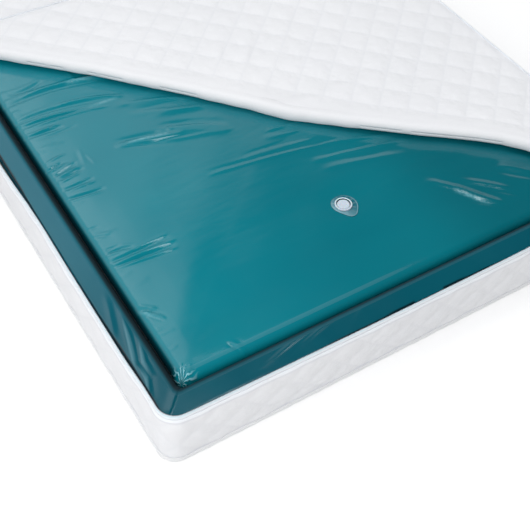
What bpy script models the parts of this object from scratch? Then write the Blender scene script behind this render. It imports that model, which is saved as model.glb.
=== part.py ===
"""Softside waterbed mattress with one corner of its quilted top cover folded back.

X runs across the bed, Y from the foot (-Y) to the head (+Y) and Z up, in metres. The origin is on the
floor, under the middle of the bed. An inset is a distance inwards from the outer face of the border.
"""

import math

import bmesh
import bpy
import numpy as np
from mathutils import Matrix, Vector
from mathutils.geometry import delaunay_2d_cdt

# Whole bed
BED_WIDTH = 1.40
BED_LENGTH = 2.00
BORDER_HEIGHT = 0.190
CORNER_RADIUS = 0.050
INNER_CORNER_RADIUS = 0.014
ARC_STEPS = 5
CLEARANCE = 0.0003
OVERRUN = 0.002
PARALLEL_LIMIT = 1e-12
SHARP_ANGLE = math.radians(35)

# Quilting, sewn in diamonds
QUILT_PITCH = 0.0792
PANEL_PUFF_THICKNESS = 0.018
PANEL_SEAM_THICKNESS = 0.009
PANEL_HEM_THICKNESS = 0.006
BORDER_THICKNESS = 0.012
BORDER_PUFF = 0.003

# Fold of the open corner
FOLD_PAST_CORNER = 0.056
FOLD_GAP = 0.0010
LAYER_GAP = 0.0007

# Cloth, tapes and zip coils
BASE_CLOTH_THICKNESS = 0.002
BINDING_HEIGHT = 0.012
BINDING_THICKNESS = 0.0015
TAPE_HEIGHT = 0.011
TAPE_THICKNESS = 0.001
COIL_INSET = 0.0035
COIL_THICKNESS = 0.003
COIL_HEIGHT = 0.0024

# Foam frame
FOAM_BASE_THICKNESS = 0.020
RAIL_BELOW_BORDER = 0.0123
RAIL_FOOT_WIDTH = 0.107
RAIL_LEAN = math.radians(17.5)
RAIL_SHOULDER_RADIUS = 0.020
SHOULDER_STEPS = 3

# Heating under the liner
HEATER_WIDTH = 0.300
HEATER_LENGTH = 0.600
HEATER_THICKNESS = 0.003
HEATER_FROM_FOOT = 0.750
LEAD_BOSS_WIDTH = 0.040
LEAD_BOSS_LENGTH = 0.024
LEAD_BOSS_HEIGHT = 0.012
SENSOR_RADIUS = 0.008
SENSOR_HEIGHT = 0.005
SENSOR_SPACING = 0.060

# Vinyl and water
LINER_THICKNESS = 0.0015
LINER_EDGE_INSET = 0.010
VINYL_THICKNESS = 0.0015
SEAM_HEIGHT = 0.088
GROOVE_DEPTH = 0.0367
BLADDER_SHOULDER_RADIUS = 0.028
CROWN_SHOULDER_INSET = 0.200
CROWN_SHOULDER_DROP = 0.009
CROWN_RIDGE_HALF_WIDTH = 0.100
FLEECE_THICKNESS = 0.030
WATER_OVER_FLEECE = 0.020

# Filler valve
VALVE_FROM_FOOT = 0.350
VALVE_DROP = 0.006
VALVE_FLAT_HALF_WIDTH = 0.045
PATCH_THICKNESS = 0.0008
PATCH_TIP_RADIUS = 0.016
PATCH_TIP_DISTANCE = 0.021
NECK_RADIUS = 0.015
NECK_BORE_RADIUS = 0.0105
NECK_DEPTH = 0.014
NECK_FLANGE_RADIUS = 0.024
NECK_FLANGE_THICKNESS = 0.0015
NECK_RISE = 0.0033
CAP_RADIUS = 0.0225
CAP_HEIGHT = 0.0043
CAP_ROOF = 0.0010
CAP_RING_RADIUS = 0.0180
CAP_RING_WIDTH = 0.0030
CAP_RING_HEIGHT = 0.0008
PLUG_LENGTH = 0.0100
PLUG_TAPER = 0.0008
PLUG_KNOB_RADIUS = 0.0040
PLUG_KNOB_HEIGHT = 0.0009
TURNED_SIDES = 24

# Zip sliders
SLIDER_LENGTH = 0.016
SLIDER_HEIGHT = 0.012
SLIDER_THICKNESS = 0.003
SLIDER_PAST_FOLD = 0.020
LUG_REACH = 0.0041
LUG_THICKNESS = 0.0015
LUG_HEIGHT = 0.0034
PIN_RADIUS = 0.0008
PIN_STANDOFF = 0.0022
TAB_EYE_RADIUS = 0.0020
TAB_EYE_WIDTH = 0.0040
TAB_WIDTH = 0.008
TAB_LENGTH = 0.028
TAB_THICKNESS = 0.0016
TAB_NECK_LENGTH = 0.0032
PIN_SIDES = 16

# Levels, from the floor up
FOAM_BASE_BOTTOM = BASE_CLOTH_THICKNESS + CLEARANCE
FOAM_BASE_TOP = FOAM_BASE_BOTTOM + FOAM_BASE_THICKNESS
RAIL_BOTTOM = FOAM_BASE_TOP + CLEARANCE
RAIL_TOP = BORDER_HEIGHT - RAIL_BELOW_BORDER
BLADDER_BOTTOM = RAIL_BOTTOM + LINER_THICKNESS + CLEARANCE
FLEECE_BOTTOM = BLADDER_BOTTOM + VINYL_THICKNESS + CLEARANCE
GROOVE_LEVEL = RAIL_TOP - GROOVE_DEPTH
FLEECE_PITCH = FLEECE_THICKNESS + CLEARANCE
FLEECE_LAYERS = int((GROOVE_LEVEL - WATER_OVER_FLEECE - FLEECE_BOTTOM) / FLEECE_PITCH)
VALVE_LEVEL = BORDER_HEIGHT - VALVE_DROP
COIL_TOP = BORDER_HEIGHT - CLEARANCE
COIL_BOTTOM = COIL_TOP - COIL_HEIGHT
TAPE_TOP = COIL_BOTTOM - CLEARANCE
TAPE_BOTTOM = TAPE_TOP - TAPE_HEIGHT
PANEL_BOTTOM = BORDER_HEIGHT + CLEARANCE
PANEL_MIDDLE = PANEL_BOTTOM + PANEL_PUFF_THICKNESS / 2
FOLD_AXIS_LEVEL = PANEL_BOTTOM + PANEL_PUFF_THICKNESS + LAYER_GAP / 2

# Insets
FACE_INSET = BORDER_PUFF
FOAM_INSET = BORDER_THICKNESS + CLEARANCE
TAPE_INSET = COIL_INSET + (COIL_THICKNESS - TAPE_THICKNESS) / 2
PANEL_INSET = TAPE_INSET + TAPE_THICKNESS + CLEARANCE
WALL_FOOT_INSET = FOAM_INSET + RAIL_FOOT_WIDTH
WALL_SLOPE = math.tan(RAIL_LEAN)
WALL_SECANT = 1 / math.cos(RAIL_LEAN)

# Fold line, where x + y is FOLD_SUM
FOLD_SUM = BED_WIDTH / 2 + FOLD_PAST_CORNER - BED_LENGTH / 2
FOLD_NORMAL = Vector((-1, -1, 0)).normalized()
FOLD_AXIS = Vector((-1, 1, 0)).normalized()
FOLD_PIVOT = Vector((0, FOLD_SUM, FOLD_AXIS_LEVEL))
FOLD_LEFT_Y = FOLD_SUM + BED_WIDTH / 2
FOLD_RIGHT_Y = FOLD_SUM - BED_WIDTH / 2


def material(name, colour, roughness, metallic=0.0):
    """A material of one colour."""
    made = bpy.data.materials.new(name)
    made.use_nodes = True
    shader = made.node_tree.nodes["Principled BSDF"]
    shader.inputs["Base Color"].default_value = (*colour, 1.0)
    shader.inputs["Roughness"].default_value = roughness
    shader.inputs["Metallic"].default_value = metallic
    return made


def place(name, shape, finish, location=(0, 0, 0), parent=None):
    """Makes an object of a bmesh, with its faces pointing out."""
    bmesh.ops.recalc_face_normals(shape, faces=shape.faces)
    mesh = bpy.data.meshes.new(name)
    shape.to_mesh(mesh)
    shape.free()
    mesh.shade_smooth()
    mesh.set_sharp_from_angle(angle=SHARP_ANGLE)
    mesh.materials.append(finish)
    made = bpy.data.objects.new(name, mesh)
    bpy.context.collection.objects.link(made)
    made.location = location
    made.parent = parent
    return made


def pivot(name, location, turn=None):
    """An empty on a joint's axis."""
    made = bpy.data.objects.new(name, None)
    bpy.context.collection.objects.link(made)
    made.location = location
    if turn is not None:
        made.rotation_mode = "QUATERNION"
        made.rotation_quaternion = turn
    return made


def combine(target, tool, operation):
    """Cuts the tool out of the target, or joins it on, and hides the tool."""
    change = target.modifiers.new(tool.name, "BOOLEAN")
    change.operation = operation
    change.solver = "EXACT"
    change.object = tool
    tool.hide_render = True
    tool.display_type = "WIRE"


def loft(rings, closed=False):
    """Skins rings of equally many points. A closed loft joins the last ring to the first, else both get a cap."""
    shape = bmesh.new()
    rows = [[shape.verts.new(point) for point in ring] for ring in rings]
    pairs = list(zip(rows, rows[1:]))
    if closed:
        pairs.append((rows[-1], rows[0]))
    for below, above in pairs:
        for i in range(len(below)):
            j = (i + 1) % len(below)
            shape.faces.new((below[i], below[j], above[j], above[i]))
    if not closed:
        shape.faces.new(rows[0])
        shape.faces.new(rows[-1])
    return shape


def rounded_outline(inset):
    """The bed's outline in plan, anticlockwise from the start of the near left corner."""
    radius = max(CORNER_RADIUS - inset, INNER_CORNER_RADIUS)
    across = BED_WIDTH / 2 - inset - radius
    along = BED_LENGTH / 2 - inset - radius
    corners = ((-1, -1), (1, -1), (1, 1), (-1, 1))
    points = []
    for quarter, (side, end) in enumerate(corners):
        for step in range(ARC_STEPS + 1):
            angle = math.pi + (quarter + step / ARC_STEPS) * math.pi / 2
            x = side * across + radius * math.cos(angle)
            y = end * along + radius * math.sin(angle)
            points.append((x, y))
    return points


def bed_ring(inset, level):
    """The outline at an inset and a level."""
    return [(x, y, level) for x, y in rounded_outline(inset)]


def bed_loft(sections, closed=False):
    """A body whose outline follows the bed's, through (inset, level) sections."""
    return loft([bed_ring(inset, level) for inset, level in sections], closed)


def band(inset, thickness, bottom, height):
    """A flat strip on edge, all the way round the bed."""
    inner = inset + thickness
    top = bottom + height
    return bed_loft([(inset, bottom), (inset, top), (inner, top), (inner, bottom)], closed=True)


def cut_away(shape, point, normal):
    """Removes what lies on the side that the normal points to, and closes the cut."""
    everything = shape.verts[:] + shape.edges[:] + shape.faces[:]
    made = bmesh.ops.bisect_plane(
        shape, geom=everything, plane_co=point, plane_no=normal, clear_outer=True
    )
    rim = [item for item in made["geom_cut"] if isinstance(item, bmesh.types.BMEdge)]
    bmesh.ops.holes_fill(shape, edges=rim)


def wall_inset(level, offset):
    """Inset of the rail's leaning inner face at a level, moved inwards by an offset."""
    return WALL_FOOT_INSET - (level - RAIL_BOTTOM) * WALL_SLOPE + offset * WALL_SECANT


def rail_shoulder(offset):
    """The rounded edge between the rail's top and its leaning face, moved outwards by an offset."""
    centre_level = RAIL_TOP - RAIL_SHOULDER_RADIUS
    centre_inset = wall_inset(centre_level, -RAIL_SHOULDER_RADIUS)
    radius = RAIL_SHOULDER_RADIUS + offset
    points = []
    for step in range(SHOULDER_STEPS + 1):
        angle = math.pi / 2 + (RAIL_LEAN - math.pi / 2) * step / SHOULDER_STEPS
        points.append((centre_inset + radius * math.cos(angle), centre_level + radius * math.sin(angle)))
    return points


def bladder_offset(depth):
    """Distance from the rail's face to a layer that lies this deep under the bladder's outer face."""
    return CLEARANCE + LINER_THICKNESS + CLEARANCE + depth


def bladder_top(depth):
    """(inset, level) sections over the bladder's shoulder and crown, at a depth under its outer face."""
    centre_level = GROOVE_LEVEL + BLADDER_SHOULDER_RADIUS * math.sin(RAIL_LEAN)
    centre_inset = wall_inset(centre_level, bladder_offset(BLADDER_SHOULDER_RADIUS))
    radius = BLADDER_SHOULDER_RADIUS - depth
    sections = []
    for step in range(SHOULDER_STEPS + 1):
        angle = math.pi + RAIL_LEAN - (math.pi / 2 + RAIL_LEAN) * step / SHOULDER_STEPS
        sections.append((centre_inset + radius * math.cos(angle), centre_level + radius * math.sin(angle)))
    sections += [
        (CROWN_SHOULDER_INSET, BORDER_HEIGHT - CROWN_SHOULDER_DROP - depth),
        (VALVE_FROM_FOOT - VALVE_FLAT_HALF_WIDTH, VALVE_LEVEL - depth),
        (VALVE_FROM_FOOT + VALVE_FLAT_HALF_WIDTH, VALVE_LEVEL - depth),
        (BED_WIDTH / 2 - CROWN_RIDGE_HALF_WIDTH, BORDER_HEIGHT - depth),
    ]
    return sections


def inside(outline, points):
    """Distance of each point inside a convex anticlockwise outline, negative outside it."""
    corners = np.array(outline)
    edges = np.roll(corners, -1, axis=0) - corners
    normals = np.stack([-edges[:, 1], edges[:, 0]], axis=1)
    normals /= np.linalg.norm(normals, axis=1, keepdims=True)
    offsets = np.asarray(points)[:, None, :] - corners[None, :, :]
    return (offsets * normals[None, :, :]).sum(axis=2).min(axis=1)


def chord(outline, point, direction):
    """The stretch of a line that lies in a convex outline, a little overrun at each end, or None."""
    low, high = -math.inf, math.inf
    for (ax, ay), (bx, by) in zip(outline, outline[1:] + outline[:1]):
        normal = (ay - by, bx - ax)
        speed = normal[0] * direction[0] + normal[1] * direction[1]
        ahead = normal[0] * (point[0] - ax) + normal[1] * (point[1] - ay)
        if abs(speed) < PARALLEL_LIMIT:
            if ahead < 0:
                return None
        elif speed > 0:
            low = max(low, -ahead / speed)
        else:
            high = min(high, -ahead / speed)
    if high <= low:
        return None
    ends = (low - OVERRUN, high + OVERRUN)
    return [(point[0] + end * direction[0], point[1] + end * direction[1]) for end in ends]


def stitching(outline, anchor):
    """The two sets of stitch lines across an outline, and the middles of the diamonds between them."""
    diagonal = math.sqrt(0.5)
    rising, falling = (diagonal, diagonal), (-diagonal, diagonal)
    corners = np.array(outline) - anchor
    steps = int(np.abs(corners).sum(axis=1).max() / QUILT_PITCH) + 1
    lines = []
    for step in range(-steps, steps + 1):
        for direction, aside in ((rising, falling), (falling, rising)):
            point = (anchor[0] + step * QUILT_PITCH * aside[0], anchor[1] + step * QUILT_PITCH * aside[1])
            line = chord(outline, point, direction)
            if line:
                lines.append(line)
    halves = (np.arange(-steps, steps) + 0.5) * QUILT_PITCH
    first, second = np.meshgrid(halves, halves)
    middles = np.stack([(first - second).ravel(), (first + second).ravel()], axis=1) * diagonal + anchor
    return lines, middles[inside(outline, middles) > OVERRUN]


def puff(points, anchor):
    """0 on the stitch lines, rising to 1 in the middle of each diamond."""
    x, y = points[:, 0] - anchor[0], points[:, 1] - anchor[1]
    rise = [1 - np.abs(2 * (across * math.sqrt(0.5) / QUILT_PITCH % 1) - 1) for across in (x + y, y - x)]
    return np.minimum(*rise)


def triangulate(outline, lines, points):
    """Triangles inside a convex outline, with an edge along each line and a corner at each point."""
    flat = [Vector(corner) for corner in outline]
    edges = [(i, (i + 1) % len(outline)) for i in range(len(outline))]
    for line in lines:
        edges.append((len(flat), len(flat) + 1))
        flat += [Vector(end) for end in line]
    flat += [Vector(point) for point in points]
    corners, _, faces, *_ = delaunay_2d_cdt(flat, edges, [], 0, CLEARANCE / 10)
    corners = np.array([tuple(corner) for corner in corners])
    middles = np.array([corners[list(face)].mean(axis=0) for face in faces])
    kept = [list(face) for face, depth in zip(faces, inside(outline, middles)) if depth > 0]
    used = sorted({corner for face in kept for corner in face})
    renumbered = {old: new for new, old in enumerate(used)}
    return corners[used], [[renumbered[corner] for corner in face] for face in kept]


def slab(upper, lower, faces):
    """A closed body between two skins with the same triangles."""
    shape = bmesh.new()
    above = [shape.verts.new(point) for point in upper]
    below = [shape.verts.new(point) for point in lower]
    rim = {}
    for face in faces:
        shape.faces.new([above[i] for i in face])
        shape.faces.new([below[i] for i in reversed(face)])
        for i, j in zip(face, face[1:] + face[:1]):
            rim[frozenset((i, j))] = None if frozenset((i, j)) in rim else (i, j)
    for edge in filter(None, rim.values()):
        i, j = edge
        shape.faces.new((above[j], above[i], below[i], below[j]))
    return shape


def clipped(outline, side):
    """The part of the outline on one side of the fold line: 1 is the corner's side and -1 the other."""
    points = []
    for a, b in zip(outline, outline[1:] + outline[:1]):
        reach_a, reach_b = (side * (FOLD_SUM - x - y) * math.sqrt(0.5) - FOLD_GAP / 2 for x, y in (a, b))
        if reach_a >= 0:
            points.append(a)
        if (reach_a < 0) != (reach_b < 0):
            share = reach_a / (reach_a - reach_b)
            points.append((a[0] + share * (b[0] - a[0]), a[1] + share * (b[1] - a[1])))
    return points


def quilted_panel(side):
    """The top's quilting on one side of the fold line, lying closed, about its middle level."""
    outline = clipped(rounded_outline(PANEL_INSET), side)
    anchor = (0, FOLD_SUM)
    corners, faces = triangulate(outline, *stitching(outline, anchor))
    thickness = PANEL_SEAM_THICKNESS + (PANEL_PUFF_THICKNESS - PANEL_SEAM_THICKNESS) * puff(corners, anchor)
    thickness[inside(outline, corners) < CLEARANCE] = PANEL_HEM_THICKNESS
    upper = np.column_stack([corners, PANEL_MIDDLE + thickness / 2])
    lower = np.column_stack([corners, PANEL_MIDDLE - thickness / 2])
    return slab(upper, lower, faces)


def border_course():
    """Lengths along the border, from the head end of the left side round the foot, at each outline point."""
    outer = rounded_outline(0)
    outer = np.array(outer[-1:] + outer)
    return np.concatenate([[0], np.cumsum(np.linalg.norm(np.diff(outer, axis=0), axis=1))])


def border_points(course, inset, level):
    """Points on the border at lengths along its course, at insets and levels."""
    stations = border_course()
    faces = []
    for depth in (0, BORDER_THICKNESS):
        ring = rounded_outline(depth)
        ring = np.array(ring[-1:] + ring)
        faces.append(np.column_stack([np.interp(course, stations, ring[:, axis]) for axis in (0, 1)]))
    share = (inset / BORDER_THICKNESS)[:, None]
    return np.column_stack([faces[0] * (1 - share) + faces[1] * share, level])


def quilted_border(start, end):
    """The quilted border between two lengths along its course, plain behind the binding at its foot."""
    bottom, quilt_bottom = FOAM_BASE_BOTTOM, FOAM_BASE_BOTTOM + BINDING_HEIGHT + CLEARANCE
    top = TAPE_BOTTOM - CLEARANCE
    outline = [(start, bottom), (end, bottom), (end, top), (start, top)]
    quilting = [(start, quilt_bottom), (end, quilt_bottom), (end, top), (start, top)]
    anchor = (start, quilt_bottom)
    lines, middles = stitching(quilting, anchor)
    lines.append([(start - OVERRUN, quilt_bottom), (end + OVERRUN, quilt_bottom)])
    turns = [station for station in border_course() if start + OVERRUN < station < end - OVERRUN]
    lines += [[(station, bottom - OVERRUN), (station, top + OVERRUN)] for station in turns]
    corners, faces = triangulate(outline, lines, middles)
    sewn = inside(quilting, corners) < CLEARANCE
    inset = FACE_INSET - BORDER_PUFF * np.where(sewn, 0, puff(corners, anchor))
    outer = border_points(corners[:, 0], inset, corners[:, 1])
    inner = border_points(corners[:, 0], np.full(len(corners), BORDER_THICKNESS), corners[:, 1])
    return slab(outer, inner, faces)


def turned(profile, location_level, closed=False, sides=TURNED_SIDES):
    """A body turned about the vertical, through (radius, height) points."""
    rings = []
    for radius, height in profile:
        angles = [2 * math.pi * side / sides for side in range(sides)]
        rings.append([(radius * math.cos(a), radius * math.sin(a), height - location_level) for a in angles])
    return loft(rings, closed)


def block(low, high):
    """A box between two corners."""
    shape = bmesh.new()
    bmesh.ops.create_cube(shape, size=1)
    low, high = Vector(low), Vector(high)
    bmesh.ops.scale(shape, vec=high - low, verts=shape.verts)
    bmesh.ops.translate(shape, vec=(low + high) / 2, verts=shape.verts)
    return shape


def rod(radius, half_length):
    """A round bar along Y through the origin."""
    shape = bmesh.new()
    bmesh.ops.create_cone(
        shape, cap_ends=True, segments=PIN_SIDES, radius1=radius, radius2=radius, depth=2 * half_length,
        matrix=Matrix.Rotation(math.pi / 2, 4, "X"),
    )
    return shape


def build_cover_base(cloth, trim):
    """The bottom cloth, the two lengths of quilted border and the binding round their foot."""
    panel = bed_loft([(FACE_INSET, 0), (FACE_INSET, BASE_CLOTH_THICKNESS)])
    place("cover_base_panel", panel, trim)
    binding_inset = FACE_INSET - CLEARANCE - BINDING_THICKNESS
    binding = band(binding_inset, BINDING_THICKNESS, FOAM_BASE_BOTTOM, BINDING_HEIGHT)
    place("cover_base_binding", binding, trim)
    course = border_course()
    join = course[3 * (ARC_STEPS + 1) - ARC_STEPS]
    half_gap = CLEARANCE / 2
    place("cover_border_strip", quilted_border(half_gap, join - half_gap), cloth)
    place("cover_border_head", quilted_border(join + half_gap, course[-1] - half_gap), cloth)


def build_cover_top(cloth, trim, nylon, flap_pivot):
    """The top panel, its corner flap, and the zip tapes and coils on the border, the panel and the flap."""
    place("zip_tape_lower", band(TAPE_INSET, TAPE_THICKNESS, TAPE_BOTTOM, TAPE_HEIGHT), trim)
    place("zip_coil_lower", band(COIL_INSET, COIL_THICKNESS, COIL_BOTTOM, COIL_HEIGHT), nylon)
    upper_tape = (TAPE_INSET, TAPE_THICKNESS, BORDER_HEIGHT + COIL_HEIGHT + CLEARANCE, TAPE_HEIGHT)
    upper_coil = (COIL_INSET, COIL_THICKNESS, BORDER_HEIGHT, COIL_HEIGHT)
    trims = (("zip_tape", upper_tape, trim), ("zip_coil", upper_coil, nylon))
    fold_point = Vector((0, FOLD_SUM, 0))
    place("cover_top_panel", quilted_panel(-1), cloth)
    for name, sizes, finish in trims:
        shape = band(*sizes)
        cut_away(shape, fold_point - FOLD_NORMAL * FOLD_GAP / 2, FOLD_NORMAL)
        place(f"{name}_upper", shape, finish)
    closed_flap = [("corner_flap", quilted_panel(1), cloth)]
    for name, sizes, finish in trims:
        shape = band(*sizes)
        cut_away(shape, fold_point + FOLD_NORMAL * FOLD_GAP / 2, -FOLD_NORMAL)
        closed_flap.append((f"{name}_flap", shape, finish))
    for name, shape, finish in closed_flap:
        bmesh.ops.translate(shape, vec=-FOLD_PIVOT, verts=shape.verts)
        place(name, shape, finish, parent=flap_pivot)


def build_frame(foam):
    """The insulating base pad and the four mitred foam rails."""
    base = place("foam_base", bed_loft([(FOAM_INSET, FOAM_BASE_BOTTOM), (FOAM_INSET, FOAM_BASE_TOP)]), foam)
    profile = [(FOAM_INSET, RAIL_BOTTOM), (FOAM_INSET, RAIL_TOP)] + rail_shoulder(0)
    profile.append((wall_inset(RAIL_BOTTOM, 0), RAIL_BOTTOM))
    rails = {
        "foam_rail_left": ((-1, -1, (1, -1, 0)), (-1, 1, (1, 1, 0))),
        "foam_rail_right": ((1, -1, (-1, -1, 0)), (1, 1, (-1, 1, 0))),
        "foam_rail_foot": ((-1, -1, (-1, 1, 0)), (1, -1, (1, 1, 0))),
        "foam_rail_head": ((-1, 1, (-1, -1, 0)), (1, 1, (1, -1, 0))),
    }
    for name, mitres in rails.items():
        shape = bed_loft(profile, closed=True)
        for side, end, direction in mitres:
            normal = Vector(direction).normalized()
            corner = Vector((side * BED_WIDTH / 2, end * BED_LENGTH / 2, 0))
            cut_away(shape, corner - normal * CLEARANCE / 2, normal)
        place(name, shape, foam)
    return base


def build_heating(base, mat_finish, rubber, plastic):
    """The heating mat, its lead boss and its sensor, each in a pocket of the base pad."""
    foot = HEATER_FROM_FOOT - BED_LENGTH / 2
    head = foot + HEATER_LENGTH
    half = HEATER_WIDTH / 2
    boss_low = head + 2 * CLEARANCE
    boss_high = boss_low + LEAD_BOSS_LENGTH
    pieces = {
        "heater_mat": ((-half, foot), (half, head), HEATER_THICKNESS, mat_finish),
        "heater_lead_boss": (
            (-LEAD_BOSS_WIDTH / 2, boss_low), (LEAD_BOSS_WIDTH / 2, boss_high), LEAD_BOSS_HEIGHT, rubber
        ),
    }
    for name, (low, high, height, finish) in pieces.items():
        bottom = FOAM_BASE_TOP - height
        place(name, block((*low, bottom), (*high, FOAM_BASE_TOP)), finish)
        pocket = block(
            (low[0] - CLEARANCE, low[1] - CLEARANCE, bottom - CLEARANCE),
            (high[0] + CLEARANCE, high[1] + CLEARANCE, FOAM_BASE_TOP + OVERRUN),
        )
        combine(base, place(f"{name}_pocket", pocket, finish), "DIFFERENCE")
    sensor_place = Vector((half + SENSOR_SPACING, (foot + head) / 2, 0))
    sizes = (
        ("heater_sensor", SENSOR_RADIUS, FOAM_BASE_TOP - SENSOR_HEIGHT, FOAM_BASE_TOP),
        (
            "heater_sensor_pocket", SENSOR_RADIUS + CLEARANCE, FOAM_BASE_TOP - SENSOR_HEIGHT - CLEARANCE,
            FOAM_BASE_TOP + OVERRUN,
        ),
    )
    turned_pieces = [
        place(name, turned([(radius, bottom), (radius, top)], 0), plastic, location=sensor_place)
        for name, radius, bottom, top in sizes
    ]
    combine(base, turned_pieces[1], "DIFFERENCE")


def build_liner(vinyl):
    """The safety tray: its floor on the base pad, its walls up the rails, its flange over their tops."""
    under, over = CLEARANCE, CLEARANCE + LINER_THICKNESS
    floor = RAIL_BOTTOM + LINER_THICKNESS
    sections = [(wall_inset(RAIL_BOTTOM, under), RAIL_BOTTOM)]
    sections += rail_shoulder(under)[::-1]
    sections += [(LINER_EDGE_INSET, RAIL_TOP + under), (LINER_EDGE_INSET, RAIL_TOP + over)]
    sections += rail_shoulder(over)
    sections.append((wall_inset(floor, over), floor))
    place("safety_liner", bed_loft(sections), vinyl)


def build_bladder(vinyl, fleece, water):
    """The two halves of the water mattress, the fibre layers and the water above them."""
    outer, inner = bladder_offset(0), bladder_offset(VINYL_THICKNESS)
    content = bladder_offset(VINYL_THICKNESS + CLEARANCE)
    bottom, floor = BLADDER_BOTTOM, BLADDER_BOTTOM + VINYL_THICKNESS
    seam_low, seam_high = SEAM_HEIGHT, SEAM_HEIGHT + CLEARANCE
    lower = [
        (wall_inset(bottom, outer), bottom), (wall_inset(seam_low, outer), seam_low),
        (wall_inset(seam_low, inner), seam_low), (wall_inset(floor, inner), floor),
    ]
    place("bladder_bottom_sheet", bed_loft(lower), vinyl)
    upper = bladder_top(VINYL_THICKNESS)[::-1]
    upper += [(wall_inset(seam_high, inner), seam_high), (wall_inset(seam_high, outer), seam_high)]
    upper += bladder_top(0)
    sheet = place("bladder_top_sheet", bed_loft(upper), vinyl)
    level = FLEECE_BOTTOM
    for layer in range(1, FLEECE_LAYERS + 1):
        sections = [(wall_inset(height, content), height) for height in (level, level + FLEECE_THICKNESS)]
        place(f"fleece_layer_{layer}", bed_loft(sections), fleece)
        level += FLEECE_PITCH
    sections = [(wall_inset(level, content), level)] + bladder_top(VINYL_THICKNESS + CLEARANCE)
    return sheet, place("water_fill", bed_loft(sections), water)


def patch_outline():
    """A triangle with round tips, one of them towards the foot."""
    points = []
    steps = 2 * ARC_STEPS
    for tip in range(3):
        middle = -math.pi / 2 + tip * 2 * math.pi / 3
        for step in range(steps + 1):
            angle = middle + (step / steps - 1 / 2) * 2 * math.pi / 3
            x = PATCH_TIP_DISTANCE * math.cos(middle) + PATCH_TIP_RADIUS * math.cos(angle)
            y = PATCH_TIP_DISTANCE * math.sin(middle) + PATCH_TIP_RADIUS * math.sin(angle)
            points.append((x, y))
    return points


def build_valve(sheet, water, clear_vinyl, plastic):
    """The welded patch, the filler neck, its stopper and the screw cap."""
    spot = Vector((0, VALVE_FROM_FOOT - BED_LENGTH / 2, VALVE_LEVEL))
    hole_radius = NECK_RADIUS + CLEARANCE
    hole_profile = [(hole_radius, -2 * VINYL_THICKNESS), (hole_radius, VINYL_THICKNESS + PATCH_THICKNESS)]
    hole = place("valve_hole", turned(hole_profile, 0), plastic, location=spot)
    combine(sheet, hole, "DIFFERENCE")

    rings = [[(x, y, level) for x, y in patch_outline()] for level in (0, PATCH_THICKNESS)]
    patch = place("valve_patch", loft(rings), clear_vinyl, location=spot + Vector((0, 0, CLEARANCE)))
    combine(patch, hole, "DIFFERENCE")

    flange_top = -VINYL_THICKNESS - CLEARANCE
    flange_bottom = flange_top - NECK_FLANGE_THICKNESS
    neck_bottom = -NECK_DEPTH
    neck_profile = [
        (NECK_BORE_RADIUS, neck_bottom), (NECK_RADIUS, neck_bottom), (NECK_RADIUS, flange_bottom),
        (NECK_FLANGE_RADIUS, flange_bottom), (NECK_FLANGE_RADIUS, flange_top), (NECK_RADIUS, flange_top),
        (NECK_RADIUS, NECK_RISE), (NECK_BORE_RADIUS, NECK_RISE),
    ]
    place("valve_neck", turned(neck_profile, 0, closed=True), plastic, location=spot)
    clear = NECK_FLANGE_RADIUS + CLEARANCE
    well_profile = [(clear, neck_bottom - CLEARANCE), (clear, OVERRUN)]
    combine(water, place("valve_well", turned(well_profile, 0), plastic, location=spot), "DIFFERENCE")

    seat = PATCH_THICKNESS + 2 * CLEARANCE
    cap_top = seat + CAP_HEIGHT
    recess = cap_top - CAP_RING_HEIGHT
    ceiling = recess - CAP_ROOF
    ring_inner = CAP_RING_RADIUS - CAP_RING_WIDTH
    edge = CAP_RADIUS - CAP_RING_HEIGHT
    cap_profile = [
        (hole_radius, ceiling), (hole_radius, seat), (CAP_RADIUS, seat), (CAP_RADIUS, recess - CAP_RING_HEIGHT),
        (edge, recess), (CAP_RING_RADIUS, recess), (CAP_RING_RADIUS, cap_top), (ring_inner, cap_top),
        (ring_inner, recess),
    ]
    place("valve_cap", turned(cap_profile, 0), plastic, location=spot)

    knob_top = ceiling - CLEARANCE
    head = knob_top - PLUG_KNOB_HEIGHT
    plug_radius = NECK_BORE_RADIUS - CLEARANCE
    plug_profile = [
        (plug_radius - PLUG_TAPER, head - PLUG_LENGTH), (plug_radius, head), (PLUG_KNOB_RADIUS, head),
        (PLUG_KNOB_RADIUS, knob_top),
    ]
    place("valve_plug", turned(plug_profile, 0), plastic, location=spot)


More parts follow.
